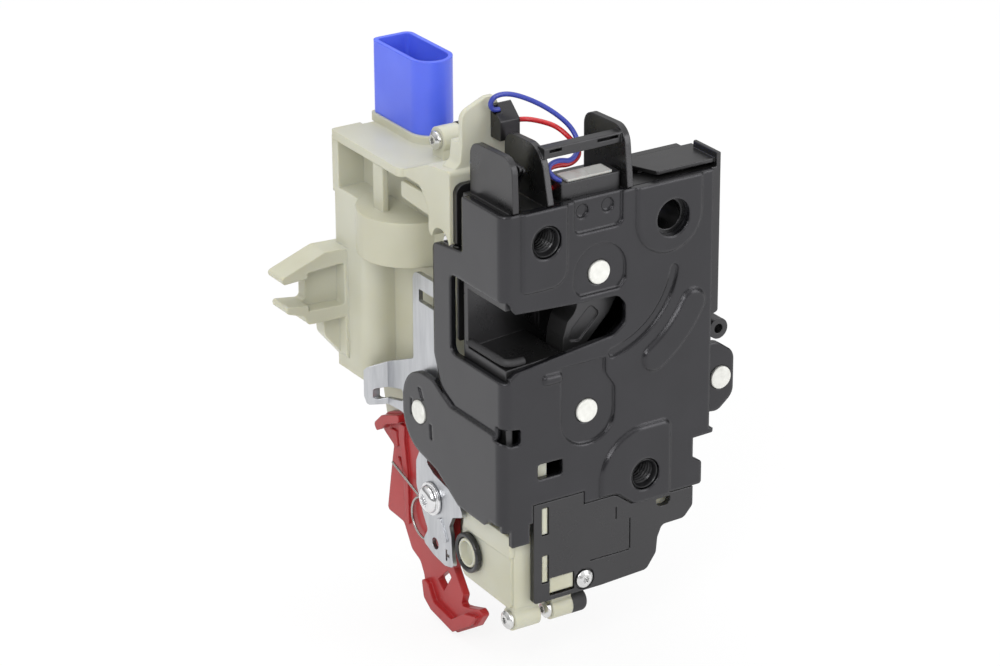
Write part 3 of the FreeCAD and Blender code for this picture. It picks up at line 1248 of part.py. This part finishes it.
def build_worm_wheel():
    """Toothed wheel; its teeth lean by the lead angle of the worm."""
    teeth = int(float(wheel_teeth))
    pitch_radius = wheel_pitch_radius()
    tip = pitch_radius + 0.85
    root = pitch_radius - 1.1
    step = 2 * math.pi / teeth
    width = float(wheel_width)
    lead = math.atan2(float(worm_pitch), 2 * math.pi * (float(worm_radius) - 0.9))
    lean = width * math.tan(lead) / pitch_radius
    # a gap between teeth faces the middle of the worm thread
    start = 0.0
    sections = []
    for side in (-0.5, 0.5):
        points = []
        for i in range(teeth):
            centre = start + (i + 0.5) * step + side * lean
            for reach, spread in ((root, 0.34), (tip, 0.14)):
                points.append((reach, centre - spread * step))
            for reach, spread in ((tip, 0.14), (root, 0.34)):
                points.append((reach, centre + spread * step))
        ring = [Vector(side * width, r * math.cos(a), r * math.sin(a)) for r, a in points]
        sections.append(Part.makePolygon(ring + ring[:1]))
    rim = Part.makeLoft(sections, True, True)
    bore = Part.makeCylinder(2.0 + float(running_gap), width + 12, Vector(-width / 2 - 6, 0, 0),
                             Vector(1, 0, 0))
    hub = Part.makeCylinder(4.5, width + 3.6, Vector(-width / 2 - 1.8, 0, 0), Vector(1, 0, 0))
    lightening = Part.makeCylinder(10.5, 1.4, Vector(width / 2 - 1.4, 0, 0), Vector(1, 0, 0))
    wheel = rim.cut(lightening).fuse(hub).cut(bore)
    shape_piece("worm_wheel", wheel, (worm_x, float(worm_y) - centre_distance(), wheel_z))


def build_lock_slider():
    """Cream flag behind the window of the plate that shows the lock state."""
    slider = new_body("lock_flag")
    slab(slider, "face", [box_outline(-8.6, -76.2, 1.9, -69.0, 0.6)],
         plate_thickness + fit_gap, Size(5.4, "5.4"))
    return slider


def build_circuit_carrier():
    """Flat carrier of the printed tracks inside the outboard half."""
    carrier = new_body("circuit_carrier")
    slab(carrier, "side", [
        box_outline(gasket_back + 6, -30.0, 62.0, 2.0, 2.0),
        Ring(gasket_back + 10, -26.0, 1.6), Ring(58.0, -2.0, 1.6),
    ], unit_outboard - unit_wall - 1.6, unit_outboard - unit_wall)
    lock_switch = new_body("lock_switch")
    slab(lock_switch, "side", [box_outline(46.0, -28.0, 56.0, -21.5, 0.6)],
         unit_outboard - unit_wall - 7.0, unit_outboard - unit_wall - 1.6)


def build_leads():
    """Two short leads from the plug over the bridge to the switch block."""
    blue = [(2.4, 28.1, 31.2), (0.2, 28.1, 31.2), (-0.9, 28.1, 33.6), (0.6, 27.4, 36.0),
            (4.4, 25.2, 36.6), (9.8, 21.4, 34.4), (14.6, 17.4, 31.0), (18.2, 13.8, 26.8),
            (18.8, 10.6, 21.8), (15.0, 9.0, 18.6), (9.6, 8.0, 20.0), (5.9, 7.6, 19.4),
            (6.6, 6.4, 17.2), (8.9, 5.6, 16.6), (8.9, 5.6, 14.9)]
    red = [(7.2, 26.6, 27.4), (9.8, 26.6, 27.4), (13.0, 22.4, 27.2), (15.4, 17.6, 26.6),
           (17.6, 13.6, 23.6), (20.6, 12.6, 19.0), (17.2, 12.6, 16.0), (11.4, 12.4, 17.0),
           (6.6, 11.6, 16.2), (5.2, 9.0, 14.4), (5.2, 7.8, 12.4), (7.4, 7.8, 12.4)]
    for label, points in (("blue_lead", blue), ("red_lead", red)):
        radii = bend_radii(points)
        path = wire_path(points, radii)
        shape = wire_along(path, 1.5)
        full = math.pi * 0.75 ** 2 * path.Length
        print(label, "length", round(path.Length, 1), "smallest radius", round(min(radii), 2),
              "volume share", round(shape.Volume / full, 4))
        shape_piece(label, shape)


def check_and_write():
    """Recompute, test every object and write one file for each piece."""
    doc.recompute()
    faults = []
    for thing in doc.Objects:
        state = " ".join(thing.State)
        if "Invalid" in state or "Error" in state:
            faults.append(f"{thing.Label}: {state}")
        if thing.TypeId in ("PartDesign::Pocket", "PartDesign::Groove") and thing.BaseFeature:
            if thing.Shape.Volume > thing.BaseFeature.Shape.Volume - 0.01:
                faults.append(f"{thing.Label}: cuts nothing")
    for piece in pieces:
        if piece.Shape.isNull() or not piece.Shape.isValid():
            faults.append(f"{piece.Label}: shape not valid")
    if faults:
        raise RuntimeError("; ".join(faults))
    os.makedirs("parts", exist_ok=True)
    for piece in pieces:
        piece.Shape.exportStep(f"parts/{piece.Label}.step")


build_latch_plate()
build_latch_housing()
build_back_plate()
build_frame_gasket()
pivot_rivet("catch_rivet", catch_x, catch_z)
pivot_rivet("pawl_rivet", pawl_x, pawl_z)
build_mounting_nuts()
build_catch()
build_pawl()
catch_back = catch_front + catch_thickness
pawl_back = catch_front + 1.0 + pawl_thickness
torsion_spring("catch_spring", (catch_x, catch_back + fit_gap + 0.7, catch_z), "Y",
               7.0, 1.4, 3.0, 10.0, 60)
torsion_spring("pawl_spring", (pawl_x, pawl_back + fit_gap + 0.6, pawl_z), "Y",
               6.6, 1.2, 3.0, 9.0, 200)
build_side_bracket()
turned("side_rivet", "Y", (72.7, 0, -65.1), [
    (0, 13.3), (rivet_radius, 13.3, 0.3), (rivet_radius, 20.6), (0, 20.6)])
build_position_switch()
build_actuator_housing()
build_actuator_cover()
build_connector()
build_wire_connector()
build_lower_cover()
build_screws()
build_lever_screw()
build_release_lever()
build_ear_rivet()
build_lock_lever()
build_red_lever()
torsion_spring("lever_spring", (red_lever_face - fit_gap - 0.45, lever_screw_y + 10.1,
                                lever_screw_z - 11.6), "X", 6.6, 0.8, 1.0, 5.0, -18, tail=20.0)
build_key_follower()
build_gear_train()
build_lock_slider()
build_circuit_carrier()
turned("frame_screw", "X", (0, frame_screw_y, frame_screw_z), [
    (0, frame_screw_seat - 2.4), (2.6, frame_screw_seat - 2.4, 1.4), (3.4, frame_screw_seat - 1.0, 0.6),
    (4.6, frame_screw_seat - 0.9, 0.3), (4.6, frame_screw_seat), (2.0, frame_screw_seat),
    (2.0, unit_face - 0.1), (0, unit_face - 0.1)])
turned("bumper", "X", (11.0, lug_y, lug_z), [
    (0, 0), (lug_radius, 0), (lug_radius, 5.6, 1.6), (0, 5.6)])
build_leads()
check_and_write()
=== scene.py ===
import math
import bpy
import bmesh
from mathutils import Matrix, Vector


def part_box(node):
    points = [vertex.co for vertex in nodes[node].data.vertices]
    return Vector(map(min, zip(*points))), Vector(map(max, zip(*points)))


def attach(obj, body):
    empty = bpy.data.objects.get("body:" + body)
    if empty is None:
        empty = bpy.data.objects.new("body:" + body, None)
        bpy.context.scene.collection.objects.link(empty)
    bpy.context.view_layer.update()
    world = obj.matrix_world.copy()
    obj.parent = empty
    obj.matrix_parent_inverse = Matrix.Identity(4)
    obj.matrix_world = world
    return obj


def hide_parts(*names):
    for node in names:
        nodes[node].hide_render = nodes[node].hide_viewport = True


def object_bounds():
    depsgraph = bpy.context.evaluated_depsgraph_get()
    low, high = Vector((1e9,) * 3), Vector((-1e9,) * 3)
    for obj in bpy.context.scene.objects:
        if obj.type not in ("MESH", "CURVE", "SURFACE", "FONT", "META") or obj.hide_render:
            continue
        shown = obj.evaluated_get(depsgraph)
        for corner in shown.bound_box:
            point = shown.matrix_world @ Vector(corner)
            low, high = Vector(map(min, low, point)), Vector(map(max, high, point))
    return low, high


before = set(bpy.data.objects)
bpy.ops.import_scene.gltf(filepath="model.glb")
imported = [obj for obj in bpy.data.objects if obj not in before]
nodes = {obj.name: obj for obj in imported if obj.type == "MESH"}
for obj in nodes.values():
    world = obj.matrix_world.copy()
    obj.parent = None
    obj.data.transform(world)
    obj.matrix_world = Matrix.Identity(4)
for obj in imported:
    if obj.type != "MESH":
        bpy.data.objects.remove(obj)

cad_low, cad_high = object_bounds()
AXIS_X, AXIS_Y, AXIS_Z = Vector((1, 0, 0)), Vector((0, 1, 0)), Vector((0, 0, 1))


def metres(*lengths):
    """Lengths in millimetres as metres."""
    return tuple(length / 1000 for length in lengths)


# Materials
NOISE_LOW, NOISE_HIGH = 0.3, 0.7     # most of a noise's values lie between these
BEVEL_SAMPLES = 6


class Tree:
    """Small helper round one node tree."""

    def __init__(self, tree):
        self.t = tree

    def first(self, kind):
        """The node of this kind that the tree starts with."""
        return next(n for n in self.t.nodes if n.type == kind)

    def feed(self, socket, value):
        """Link another node's output to the socket, or set the value on it."""
        if isinstance(value, bpy.types.NodeSocket):
            self.t.links.new(value, socket)
        else:
            socket.default_value = value

    def node(self, kind, **values):
        """New node; each value is an attribute of it or goes into the input of that name."""
        n = self.t.nodes.new(kind)
        for key, value in values.items():
            if hasattr(n, key):
                setattr(n, key, value)
            else:
                self.feed(n.inputs[key.replace("_", " ")], value)
        return n

    def maths(self, operation, a, b):
        """Output of one sum on two sockets or numbers."""
        n = self.node("ShaderNodeMath", operation=operation)
        self.feed(n.inputs[0], a)
        self.feed(n.inputs[1], b)
        return n.outputs[0]


class Mat(Tree):
    """One node material."""

    def __init__(self, name):
        self.m = bpy.data.materials.new(name)
        self.m.use_nodes = True
        super().__init__(self.m.node_tree)
        self.bsdf = self.first("BSDF_PRINCIPLED")
        self.out = self.first("OUTPUT_MATERIAL")

    def put(self, name, value):
        self.feed(self.bsdf.inputs[name], value)

    def noise(self, scale, detail=3.0, roughness=0.5, stretch=None):
        """Noise in the object's own coordinates; stretch scales them along each axis."""
        where = self.node("ShaderNodeTexCoord").outputs["Object"]
        if stretch:
            where = self.node("ShaderNodeMapping", Vector=where, Scale=stretch).outputs["Vector"]
        return self.node("ShaderNodeTexNoise", Vector=where, Scale=scale, Detail=detail,
                         Roughness=roughness).outputs["Fac"]

    def ramp(self, value, stops):
        """Colour by value, from (place, colour) stops."""
        r = self.node("ShaderNodeValToRGB", Fac=value)
        elements = r.color_ramp.elements
        while len(elements) < len(stops):
            elements.new(0.5)
        for element, (place, colour) in zip(elements, stops):
            element.position = place
            element.color = (*colour, 1)
        return r.outputs["Color"]

    def tones(self, value, dark, light):
        """Colour that a noise shifts between two tones."""
        return self.ramp(value, [(NOISE_LOW, dark), (NOISE_HIGH, light)])

    def spread(self, value, low, high):
        """Number that a noise shifts between low and high."""
        return self.node("ShaderNodeMapRange", Value=value, From_Min=NOISE_LOW,
                         From_Max=NOISE_HIGH, To_Min=low, To_Max=high).outputs["Result"]

    def surface(self, heights, edge):
        """Bump from (value, strength, distance) on edges rounded by a small radius."""
        bevel = self.node("ShaderNodeBevel", samples=BEVEL_SAMPLES, Radius=edge)
        normal = bevel.outputs["Normal"]
        for value, strength, distance in heights:
            normal = self.node("ShaderNodeBump", Strength=strength, Distance=distance,
                               Height=value, Normal=normal).outputs["Normal"]
        self.put("Normal", normal)
        return self.m


def painted_steel():
    """Black dipped coat on stamped steel: smooth, with a faint orange peel."""
    s = Mat("black_coat")
    s.put("Base Color", s.tones(s.noise(55, 4), (0.005, 0.005, 0.0058), (0.009, 0.009, 0.0105)))
    s.put("Roughness", s.spread(s.noise(160), 0.13, 0.20))
    s.put("Specular IOR Level", 0.6)
    s.put("Specular Tint", (0.96, 0.95, 1.0, 1))
    return s.surface([(s.noise(900, 2), 0.03, 0.0004), (s.noise(70, 2), 0.10, 0.0010)], 0.0012)


def black_plastic(name="black_moulding", rough=(0.24, 0.36), tone=0.007, grain=2600):
    """Black glass-filled moulding with a fine grain and faint flow marks."""
    s = Mat(name)
    s.put("Base Color", s.tones(s.noise(40, 4), (tone * 0.8,) * 3, (tone * 1.4,) * 3))
    s.put("Roughness", s.spread(s.noise(90, 4), *rough))
    s.put("Specular IOR Level", 0.72)
    s.put("Specular Tint", (0.97, 0.96, 1.0, 1))
    return s.surface([(s.noise(grain, 2), 0.06, 0.0002), (s.noise(60), 0.07, 0.0008)], 0.0005)


def ivory():
    """Natural nylon: milky, slightly warm, a little light passes through it."""
    s = Mat("ivory_nylon")
    s.put("Base Color", s.ramp(s.noise(22), [
        (0.32, (0.465, 0.455, 0.345)), (0.5, (0.515, 0.51, 0.41)), (0.68, (0.55, 0.55, 0.465))]))
    s.put("Roughness", s.spread(s.noise(70), 0.36, 0.5))
    s.put("Subsurface Weight", 0.35)
    s.put("Subsurface Radius", (1.0, 0.85, 0.5))
    s.put("Subsurface Scale", 0.0022)
    s.put("Specular IOR Level", 0.42)
    return s.surface([(s.noise(1500, 2), 0.06, 0.0002), (s.noise(45), 0.10, 0.0008)], 0.0007)


def coloured_plastic(name, dark, light, rough=(0.34, 0.46), sub=0.08):
    """Moulding or wire sleeve in one colour; sub is how much light passes through it."""
    s = Mat(name)
    s.put("Base Color", s.tones(s.noise(35), dark, light))
    s.put("Roughness", s.spread(s.noise(80), *rough))
    s.put("Subsurface Weight", sub)
    s.put("Subsurface Radius", (1.0, 0.5, 0.4))
    s.put("Subsurface Scale", 0.001)
    return s.surface([(s.noise(1800, 2), 0.10, 0.0002), (s.noise(60), 0.06, 0.0006)], 0.0006)


def metal(name, dark, light, rough, stretch=None, scale=300, bump=0.12, edge=0.0003, metallic=1.0):
    """Bare or plated metal with fine marks, directional where they are stretched."""
    s = Mat(name)
    s.put("Base Color", s.tones(s.noise(scale, 4, 0.6, stretch), dark, light))
    s.put("Roughness", s.spread(s.noise(scale * 0.5, 4, 0.6, stretch), *rough))
    s.put("Metallic", metallic)
    return s.surface([(s.noise(scale * 3, 3, 0.6, stretch), bump, 0.0002)], edge)


mats = {
    "black_steel": painted_steel(),
    "black_plastic": black_plastic(),
    "black_rubber": black_plastic("bumper_rubber", (0.6, 0.75), 0.013, 1800),
    "ivory": ivory(),
    "blue": coloured_plastic("blue_socket", (0.070, 0.120, 0.74), (0.105, 0.165, 0.84),
                             (0.28, 0.40), sub=0.25),
    "red": coloured_plastic("red_moulding", (0.32, 0.013, 0.014), (0.39, 0.018, 0.020),
                            (0.28, 0.42)),
    "blue_wire": coloured_plastic("blue_sleeve", (0.030, 0.045, 0.30), (0.045, 0.065, 0.40),
                                  (0.24, 0.36), 0.0),
    "red_wire": coloured_plastic("red_sleeve", (0.48, 0.01, 0.016), (0.60, 0.02, 0.025),
                                 (0.24, 0.36), 0.0),
    "rivet": metal("rivet_head", (0.70, 0.70, 0.66), (0.84, 0.84, 0.80), (0.42, 0.6),
                   scale=500, bump=0.3, metallic=0.55),
    "zinc": metal("zinc_sheet", (0.44, 0.45, 0.47), (0.58, 0.59, 0.61), (0.28, 0.42),
                  (1, 1, 0.12), 420, 0.15),
    "screw": metal("bright_screw", (0.60, 0.60, 0.60), (0.78, 0.78, 0.77), (0.16, 0.3),
                   scale=350, bump=0.1),
    "chrome": metal("chrome_screw", (0.66, 0.66, 0.67), (0.80, 0.80, 0.81), (0.08, 0.18),
                    bump=0.05),
    "spring": metal("spring_wire", (0.30, 0.29, 0.28), (0.46, 0.45, 0.43), (0.2, 0.32)),
    "dark_metal": metal("hardened_steel", (0.14, 0.14, 0.15), (0.22, 0.22, 0.23), (0.3, 0.45)),
    "thread": metal("cut_thread", (0.012, 0.012, 0.013), (0.03, 0.03, 0.032), (0.24, 0.34),
                    scale=400, bump=0.05, edge=0.0001, metallic=0.35),
    "brass": metal("worm_brass", (0.60, 0.43, 0.16), (0.72, 0.55, 0.24), (0.2, 0.35)),
    "tin": metal("tinned_contact", (0.70, 0.66, 0.52), (0.80, 0.76, 0.62), (0.2, 0.35)),
    "can": metal("motor_can", (0.45, 0.45, 0.46), (0.58, 0.58, 0.60), (0.25, 0.4), (1, 1, 0.1)),
    "gear": coloured_plastic("acetal_gear", (0.74, 0.74, 0.68), (0.80, 0.80, 0.75)),
    "pale": coloured_plastic("potting", (0.42, 0.42, 0.40), (0.55, 0.55, 0.52), (0.25, 0.4)),
    "coat": black_plastic("catch_coat", (0.3, 0.42), 0.014, 1800),
}

finishes = {
    "black_steel": ["latch_plate", "back_plate", "mounting_nuts", "side_bracket"],
    "black_plastic": ["latch_housing", "frame_gasket", "switch_block", "actuator_cover",
                      "wire_connector", "lower_cover", "follower_seal", "circuit_carrier",
                      "lock_switch"],
    "black_rubber": ["bumper"],
    "ivory": ["actuator_housing", "key_follower", "lock_flag"],
    "blue": ["connector_shroud"],
    "red": ["red_lever"],
    "blue_wire": ["blue_lead"],
    "red_wire": ["red_lead"],
    "rivet": ["catch_rivet", "pawl_rivet", "ear_rivet", "side_rivet"],
    "zinc": ["release_lever", "lock_lever"],
    "screw": ["housing_screws", "cover_screw", "lever_screw", "wheel_pin"],
    "chrome": ["frame_screw"],
    "spring": ["catch_spring", "pawl_spring", "lever_spring"],
    "dark_metal": ["pawl"],
    "brass": ["motor_worm"],
    "tin": ["contact_blades"],
    "can": ["lock_motor"],
    "gear": ["worm_wheel"],
    "pale": ["switch_cap"],
    "coat": ["rotary_catch"],
}
for finish, names in finishes.items():
    for name in names:
        slots = nodes[name].data.materials
        slots.clear()
        slots.append(mats[finish])


# Helpers for the pieces made here, which all ride on the latch frame
def add(name, data, material):
    """Object that shows a finished mesh or curve on the latch frame."""
    data.materials.append(mats[material])
    obj = bpy.data.objects.new(name, data)
    bpy.context.scene.collection.objects.link(obj)
    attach(obj, "latch_frame")
    return obj


def add_mesh(name, mesh, material, sharp=0.6):
    """Piece from a bmesh, shaded smooth up to the sharp angle in radians."""
    bmesh.ops.recalc_face_normals(mesh, faces=mesh.faces)
    data = bpy.data.meshes.new(name)
    mesh.to_mesh(data)
    mesh.free()
    data.shade_smooth()
    data.set_sharp_from_angle(angle=sharp)
    return add(name, data, material)


def add_tube(name, route, diameter, order, fineness, material):
    """Round NURBS line with closed ends; route gives its control points in millimetres."""
    curve = bpy.data.curves.new(name, "CURVE")
    curve.dimensions = "3D"
    curve.bevel_depth = diameter / 2
    curve.bevel_resolution = 6
    curve.resolution_u = fineness
    curve.use_fill_caps = True
    line = curve.splines.new("NURBS")
    line.points.add(len(route) - 1)
    for point, place in zip(line.points, route):
        point.co = (*metres(*place), 1)
    line.order_u = order
    line.use_endpoint_u = True
    return add(name, curve, material)


def ring(mesh, centre, first, second, count, reach):
    """Closed loop of vertices from the first axis towards the second; reach in millimetres."""
    loop = []
    for i in range(count):
        angle = 2 * math.pi * i / count
        out = (reach(angle) if callable(reach) else reach) / 1000
        loop.append(mesh.verts.new(
            centre + first * (out * math.cos(angle)) + second * (out * math.sin(angle))))
    return loop


def bridge(mesh, loops, following):
    """Quads between each loop and the one that follows it."""
    for a, b in zip(loops, following):
        for i in range(len(a)):
            j = (i + 1) % len(a)
            mesh.faces.new((a[i], a[j], b[j], b[i]))


# Two insulated leads: smooth lines through the route of the held wires
LEAD_DIAMETER = 0.0015


def lead(name, node, route, material):
    obj = add_tube(name, route, LEAD_DIAMETER, 3, 14, material)
    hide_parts(node)


lead("blue_insulated_lead", "blue_lead", [
    (2.4, 28.1, 31.2), (0.2, 28.1, 31.2), (-0.9, 28.1, 33.6), (0.6, 27.4, 36.0),
    (4.4, 25.2, 36.6), (9.8, 21.4, 34.4), (14.6, 17.4, 31.0), (18.2, 13.8, 26.8),
    (18.8, 10.6, 21.8), (15.0, 9.0, 18.6), (9.8, 8.2, 20.4), (5.4, 7.4, 19.6),
    (6.2, 6.2, 16.4), (8.9, 5.6, 14.9)], "blue_wire")
lead("red_insulated_lead", "red_lead", [
    (7.2, 26.6, 27.4), (9.8, 26.6, 27.4), (13.0, 22.4, 27.2), (15.4, 17.6, 26.6),
    (17.6, 13.6, 23.6), (20.6, 12.6, 19.0), (17.2, 12.6, 16.0), (11.4, 12.4, 17.0),
    (6.6, 11.6, 16.2), (5.2, 9.0, 14.4), (5.2, 7.8, 12.4), (7.4, 7.8, 12.4)], "red_wire")


# Pivot screw of the two outer levers: washer head with a smooth dome and a six-lobed drive
SCREW_COUNT = 72
# radius, lobe height and place along X of each ring, in mm from the inner end outwards
SCREW_RINGS = [
    (2.0, 0, 1.0), (2.0, 0, -6.9), (2.5, 0, -6.95), (2.5, 0, -13.3), (5.1, 0, -13.3),
    (5.3, 0, -13.45), (5.3, 0, -14.0), (5.2, 0, -14.15), (4.95, 0, -14.22), (4.5, 0, -14.25),
    (4.36, 0, -14.4), (4.33, 0, -14.75), (4.2, 0, -15.15), (3.95, 0, -15.55),
    (3.55, 0, -15.92), (3.0, 0, -16.2), (2.4, 0, -16.36), (2.0, 0.14, -16.42),
    (1.85, 0.22, -16.4), (1.75, 0.24, -16.2), (1.6, 0.24, -15.3)]


def pivot_screw():
    low, high = [Vector(corner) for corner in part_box("lever_screw")]
    middle = (low + high) / 2
    mesh = bmesh.new()
    loops = [ring(mesh, Vector((x / 1000, middle.y, middle.z)), AXIS_Y, AXIS_Z, SCREW_COUNT,
                  lambda angle: radius + lobe * math.cos(6 * angle))
             for radius, lobe, x in SCREW_RINGS]
    bridge(mesh, loops, loops[1:])
    mesh.faces.new(loops[0])
    mesh.faces.new(loops[-1])
    obj = add_mesh("lever_pivot_screw", mesh, "chrome")
    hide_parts("lever_screw")


pivot_screw()


# Collars of the two door screws: dished mouth and a real M8 thread in the bore
COLLAR_COUNT = 56
ROWS_PER_PITCH = 12
# lengths in mm; near is the collar's front end, far its back end
PITCH, ROOT_RADIUS, RIDGE_HEIGHT = 1.25, 4.05, 0.62
PLATE_BACK = 2.0
THREAD_AFTER_NEAR, THREAD_BEFORE_FAR = 1.7, 0.4


def threaded_collar(name, x, z, outer, near, far):
    """Outside like the nut behind the plate; the bore's wall is one helical thread."""
    start, stop = near + THREAD_AFTER_NEAR, far - THREAD_BEFORE_FAR
    rows = int((stop - start) / PITCH * ROWS_PER_PITCH)

    def wall(along, fade):
        """Reach of the bore's wall by angle; the thread fades out at both ends."""
        def reach(angle):
            turn = (along / PITCH + angle / (2 * math.pi)) % 1.0
            ridge = max(0.0, min(1.0, 1.25 - 2.5 * abs(turn - 0.5)))
            return ROOT_RADIUS - RIDGE_HEIGHT * ridge * fade
        return reach

    profile = [(outer, far - 1.0), (outer, PLATE_BACK), (4.75, PLATE_BACK), (4.75, near + 0.25),
               (4.62, near + 0.06), (4.45, near), (4.3, near + 0.12), (4.12, near + 0.6),
               (ROOT_RADIUS, start)]
    for row in range(1, rows):
        along = start + PITCH * row / ROWS_PER_PITCH
        fade = min(1.0, row / ROWS_PER_PITCH, (rows - row) / ROWS_PER_PITCH)
        profile.append((wall(along, fade), along))
    profile += [(ROOT_RADIUS, stop), (outer - 1.0, far)]

    mesh = bmesh.new()
    loops = [ring(mesh, Vector((x, along / 1000, z)), AXIS_X, AXIS_Z, COLLAR_COUNT, reach)
             for reach, along in profile]
    bridge(mesh, loops, loops[1:] + loops[:1])
    obj = add_mesh(name, mesh, "thread", 0.9)
    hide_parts("mounting_nuts")


nut_low, nut_high = [Vector(corner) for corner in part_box("mounting_nuts")]
nut_radius = -nut_low.x      # the upper nut stands on the frame's origin
for name, x, z in (("upper_threaded_collar", 0.0, 0.0),
                   ("lower_threaded_collar", nut_high.x - nut_radius, nut_low.z + nut_radius)):
    threaded_collar(name, x, z, nut_radius * 1000, nut_low.y * 1000, nut_high.y * 1000)


# Soft liner at the mouth: a rolled bead on the floor's edge and a flap over the joint behind
LINER_BEAD_DIAMETER = 0.0024
FLAP_OUTLINE = [(-12.3, -9.6), (-9.6, -8.6), (-8.8, -9.4), (-8.8, -37.6), (-9.6, -38.4),
                (-11.6, -38.4), (-12.3, -37.6)]
FLAP_FRONT, FLAP_BACK = 28.15, 28.55
FLAP_EDGE = 0.00012


def liner_flap():
    mesh = bmesh.new()
    front, back = [[mesh.verts.new(metres(x, y, z)) for x, z in FLAP_OUTLINE]
                   for y in (FLAP_FRONT, FLAP_BACK)]
    mesh.faces.new(front)
    mesh.faces.new(back[::-1])
    bridge(mesh, [front], [back])
    bmesh.ops.bevel(mesh, geom=list(mesh.edges), offset=FLAP_EDGE, segments=2, affect="EDGES")
    add_mesh("mouth_liner_flap", mesh, "black_plastic")


add_tube("mouth_liner_bead", [
    (-11.3, 23.6, -37.0), (-11.4, 18.0, -36.9), (-11.4, 10.0, -36.8), (-11.4, 5.6, -36.8),
    (-11.0, 3.4, -36.8), (-8.6, 2.9, -36.9), (-5.6, 3.0, -36.9)],
    LINER_BEAD_DIAMETER, 4, 16, "black_rubber")
liner_flap()


# Floor: white to the camera, a plain pale surface for the light, shadows kept
FLOOR_REACH = 4
FLOOR_GAP = 0.0005       # from the part's lowest point down to the floor
MIRRORED_SHARE = 0.6     # how much of the white a reflection sees
WHITE_SHARE = 0.86       # the rest is the lit surface, which carries the shadow


def backdrop():
    s = Mat("backdrop")
    s.put("Base Color", s.tones(s.noise(3, 2), (0.86, 0.86, 0.86), (0.88, 0.88, 0.88)))
    s.put("Roughness", 0.9)
    path = s.node("ShaderNodeLightPath").outputs
    mirrored = s.maths("MULTIPLY", path["Is Glossy Ray"], MIRRORED_SHARE)
    seen = s.maths("MAXIMUM", path["Is Camera Ray"], mirrored)
    seen = s.maths("MAXIMUM", seen, path["Is Transmission Ray"])
    glow = s.node("ShaderNodeEmission", Color=(1, 1, 1, 1), Strength=1.0)
    mix = s.node("ShaderNodeMixShader", Fac=s.maths("MULTIPLY", seen, WHITE_SHARE))
    s.feed(mix.inputs[1], s.bsdf.outputs[0])
    s.feed(mix.inputs[2], glow.outputs[0])
    s.feed(s.out.inputs["Surface"], mix.outputs[0])
    return s.m


def floor():
    level = cad_low.z - FLOOR_GAP
    corners = [(x * FLOOR_REACH, y * FLOOR_REACH, level)
               for x, y in ((-1, -1), (1, -1), (1, 1), (-1, 1))]
    mesh = bpy.data.meshes.new("floor")
    mesh.from_pydata(corners, [], [(0, 1, 2, 3)])
    mesh.materials.append(backdrop())
    obj = bpy.data.objects.new("floor", mesh)
    bpy.context.scene.collection.objects.link(obj)


floor()

# Room light: dim at the horizon and bright overhead, like a soft box above the table
HORIZON_LIGHT, OVERHEAD_LIGHT = 0.20, 1.05

bpy.context.scene.world = bpy.data.worlds.new("studio")
bpy.context.scene.world.use_nodes = True
room = Tree(bpy.context.scene.world.node_tree)
path = room.node("ShaderNodeLightPath").outputs
direction = room.node("ShaderNodeTexCoord").outputs["Generated"]
height = room.node("ShaderNodeSeparateXYZ", Vector=direction).outputs["Z"]
level = room.node("ShaderNodeMapRange", interpolation_type="SMOOTHSTEP", Value=height,
                  From_Min=-0.05, From_Max=0.8, To_Min=HORIZON_LIGHT,
                  To_Max=OVERHEAD_LIGHT).outputs["Result"]
seen = room.maths("MAXIMUM", path["Is Camera Ray"], path["Is Transmission Ray"])
background = room.first("BACKGROUND")
room.feed(background.inputs["Color"], (1, 1, 1, 1))
room.feed(background.inputs["Strength"], room.maths("MAXIMUM", seen, level))

# Lamps
LAMP_TARGET = Vector((0.01, 0.03, -0.055))


def lamp(name, place, size, watts):
    data = bpy.data.lights.new(name, "AREA")
    data.shape = "RECTANGLE"
    data.size, data.size_y = size
    data.energy = watts
    obj = bpy.data.objects.new(name, data)
    obj.location = place
    obj.rotation_mode = "QUATERNION"
    obj.rotation_quaternion = (LAMP_TARGET - Vector(place)).to_track_quat("-Z", "Y")
    bpy.context.scene.collection.objects.link(obj)


lamp("key", (-0.9, -0.75, 0.75), (0.5, 0.8), 8.5)
lamp("fill", (0.75, -0.9, 0.25), (0.5, 0.9), 4.5)
lamp("top", (0.0, 0.3, 1.1), (0.8, 0.8), 3.5)

# Camera at the angle of the photograph
CAMERA_PLACE = (-0.526945, -0.812230, 0.388602)
CAMERA_RIGHT = (0.845078, -0.534621, -0.004809)
CAMERA_UP = (0.215205, 0.331913, 0.918434)
CAMERA_BACK = (-0.489418, -0.777183, 0.395546)

data = bpy.data.cameras.new("view")
data.lens = 131.4
data.sensor_width = 36
data.clip_start = 0.01
data.clip_end = 20
camera = bpy.data.objects.new("view", data)
rotation = Matrix((CAMERA_RIGHT, CAMERA_UP, CAMERA_BACK)).transposed()
camera.matrix_world = Matrix.Translation(CAMERA_PLACE) @ rotation.to_4x4()
bpy.context.scene.collection.objects.link(camera)
bpy.context.scene.camera = camera
bpy.context.scene.view_settings.view_transform = "Standard"
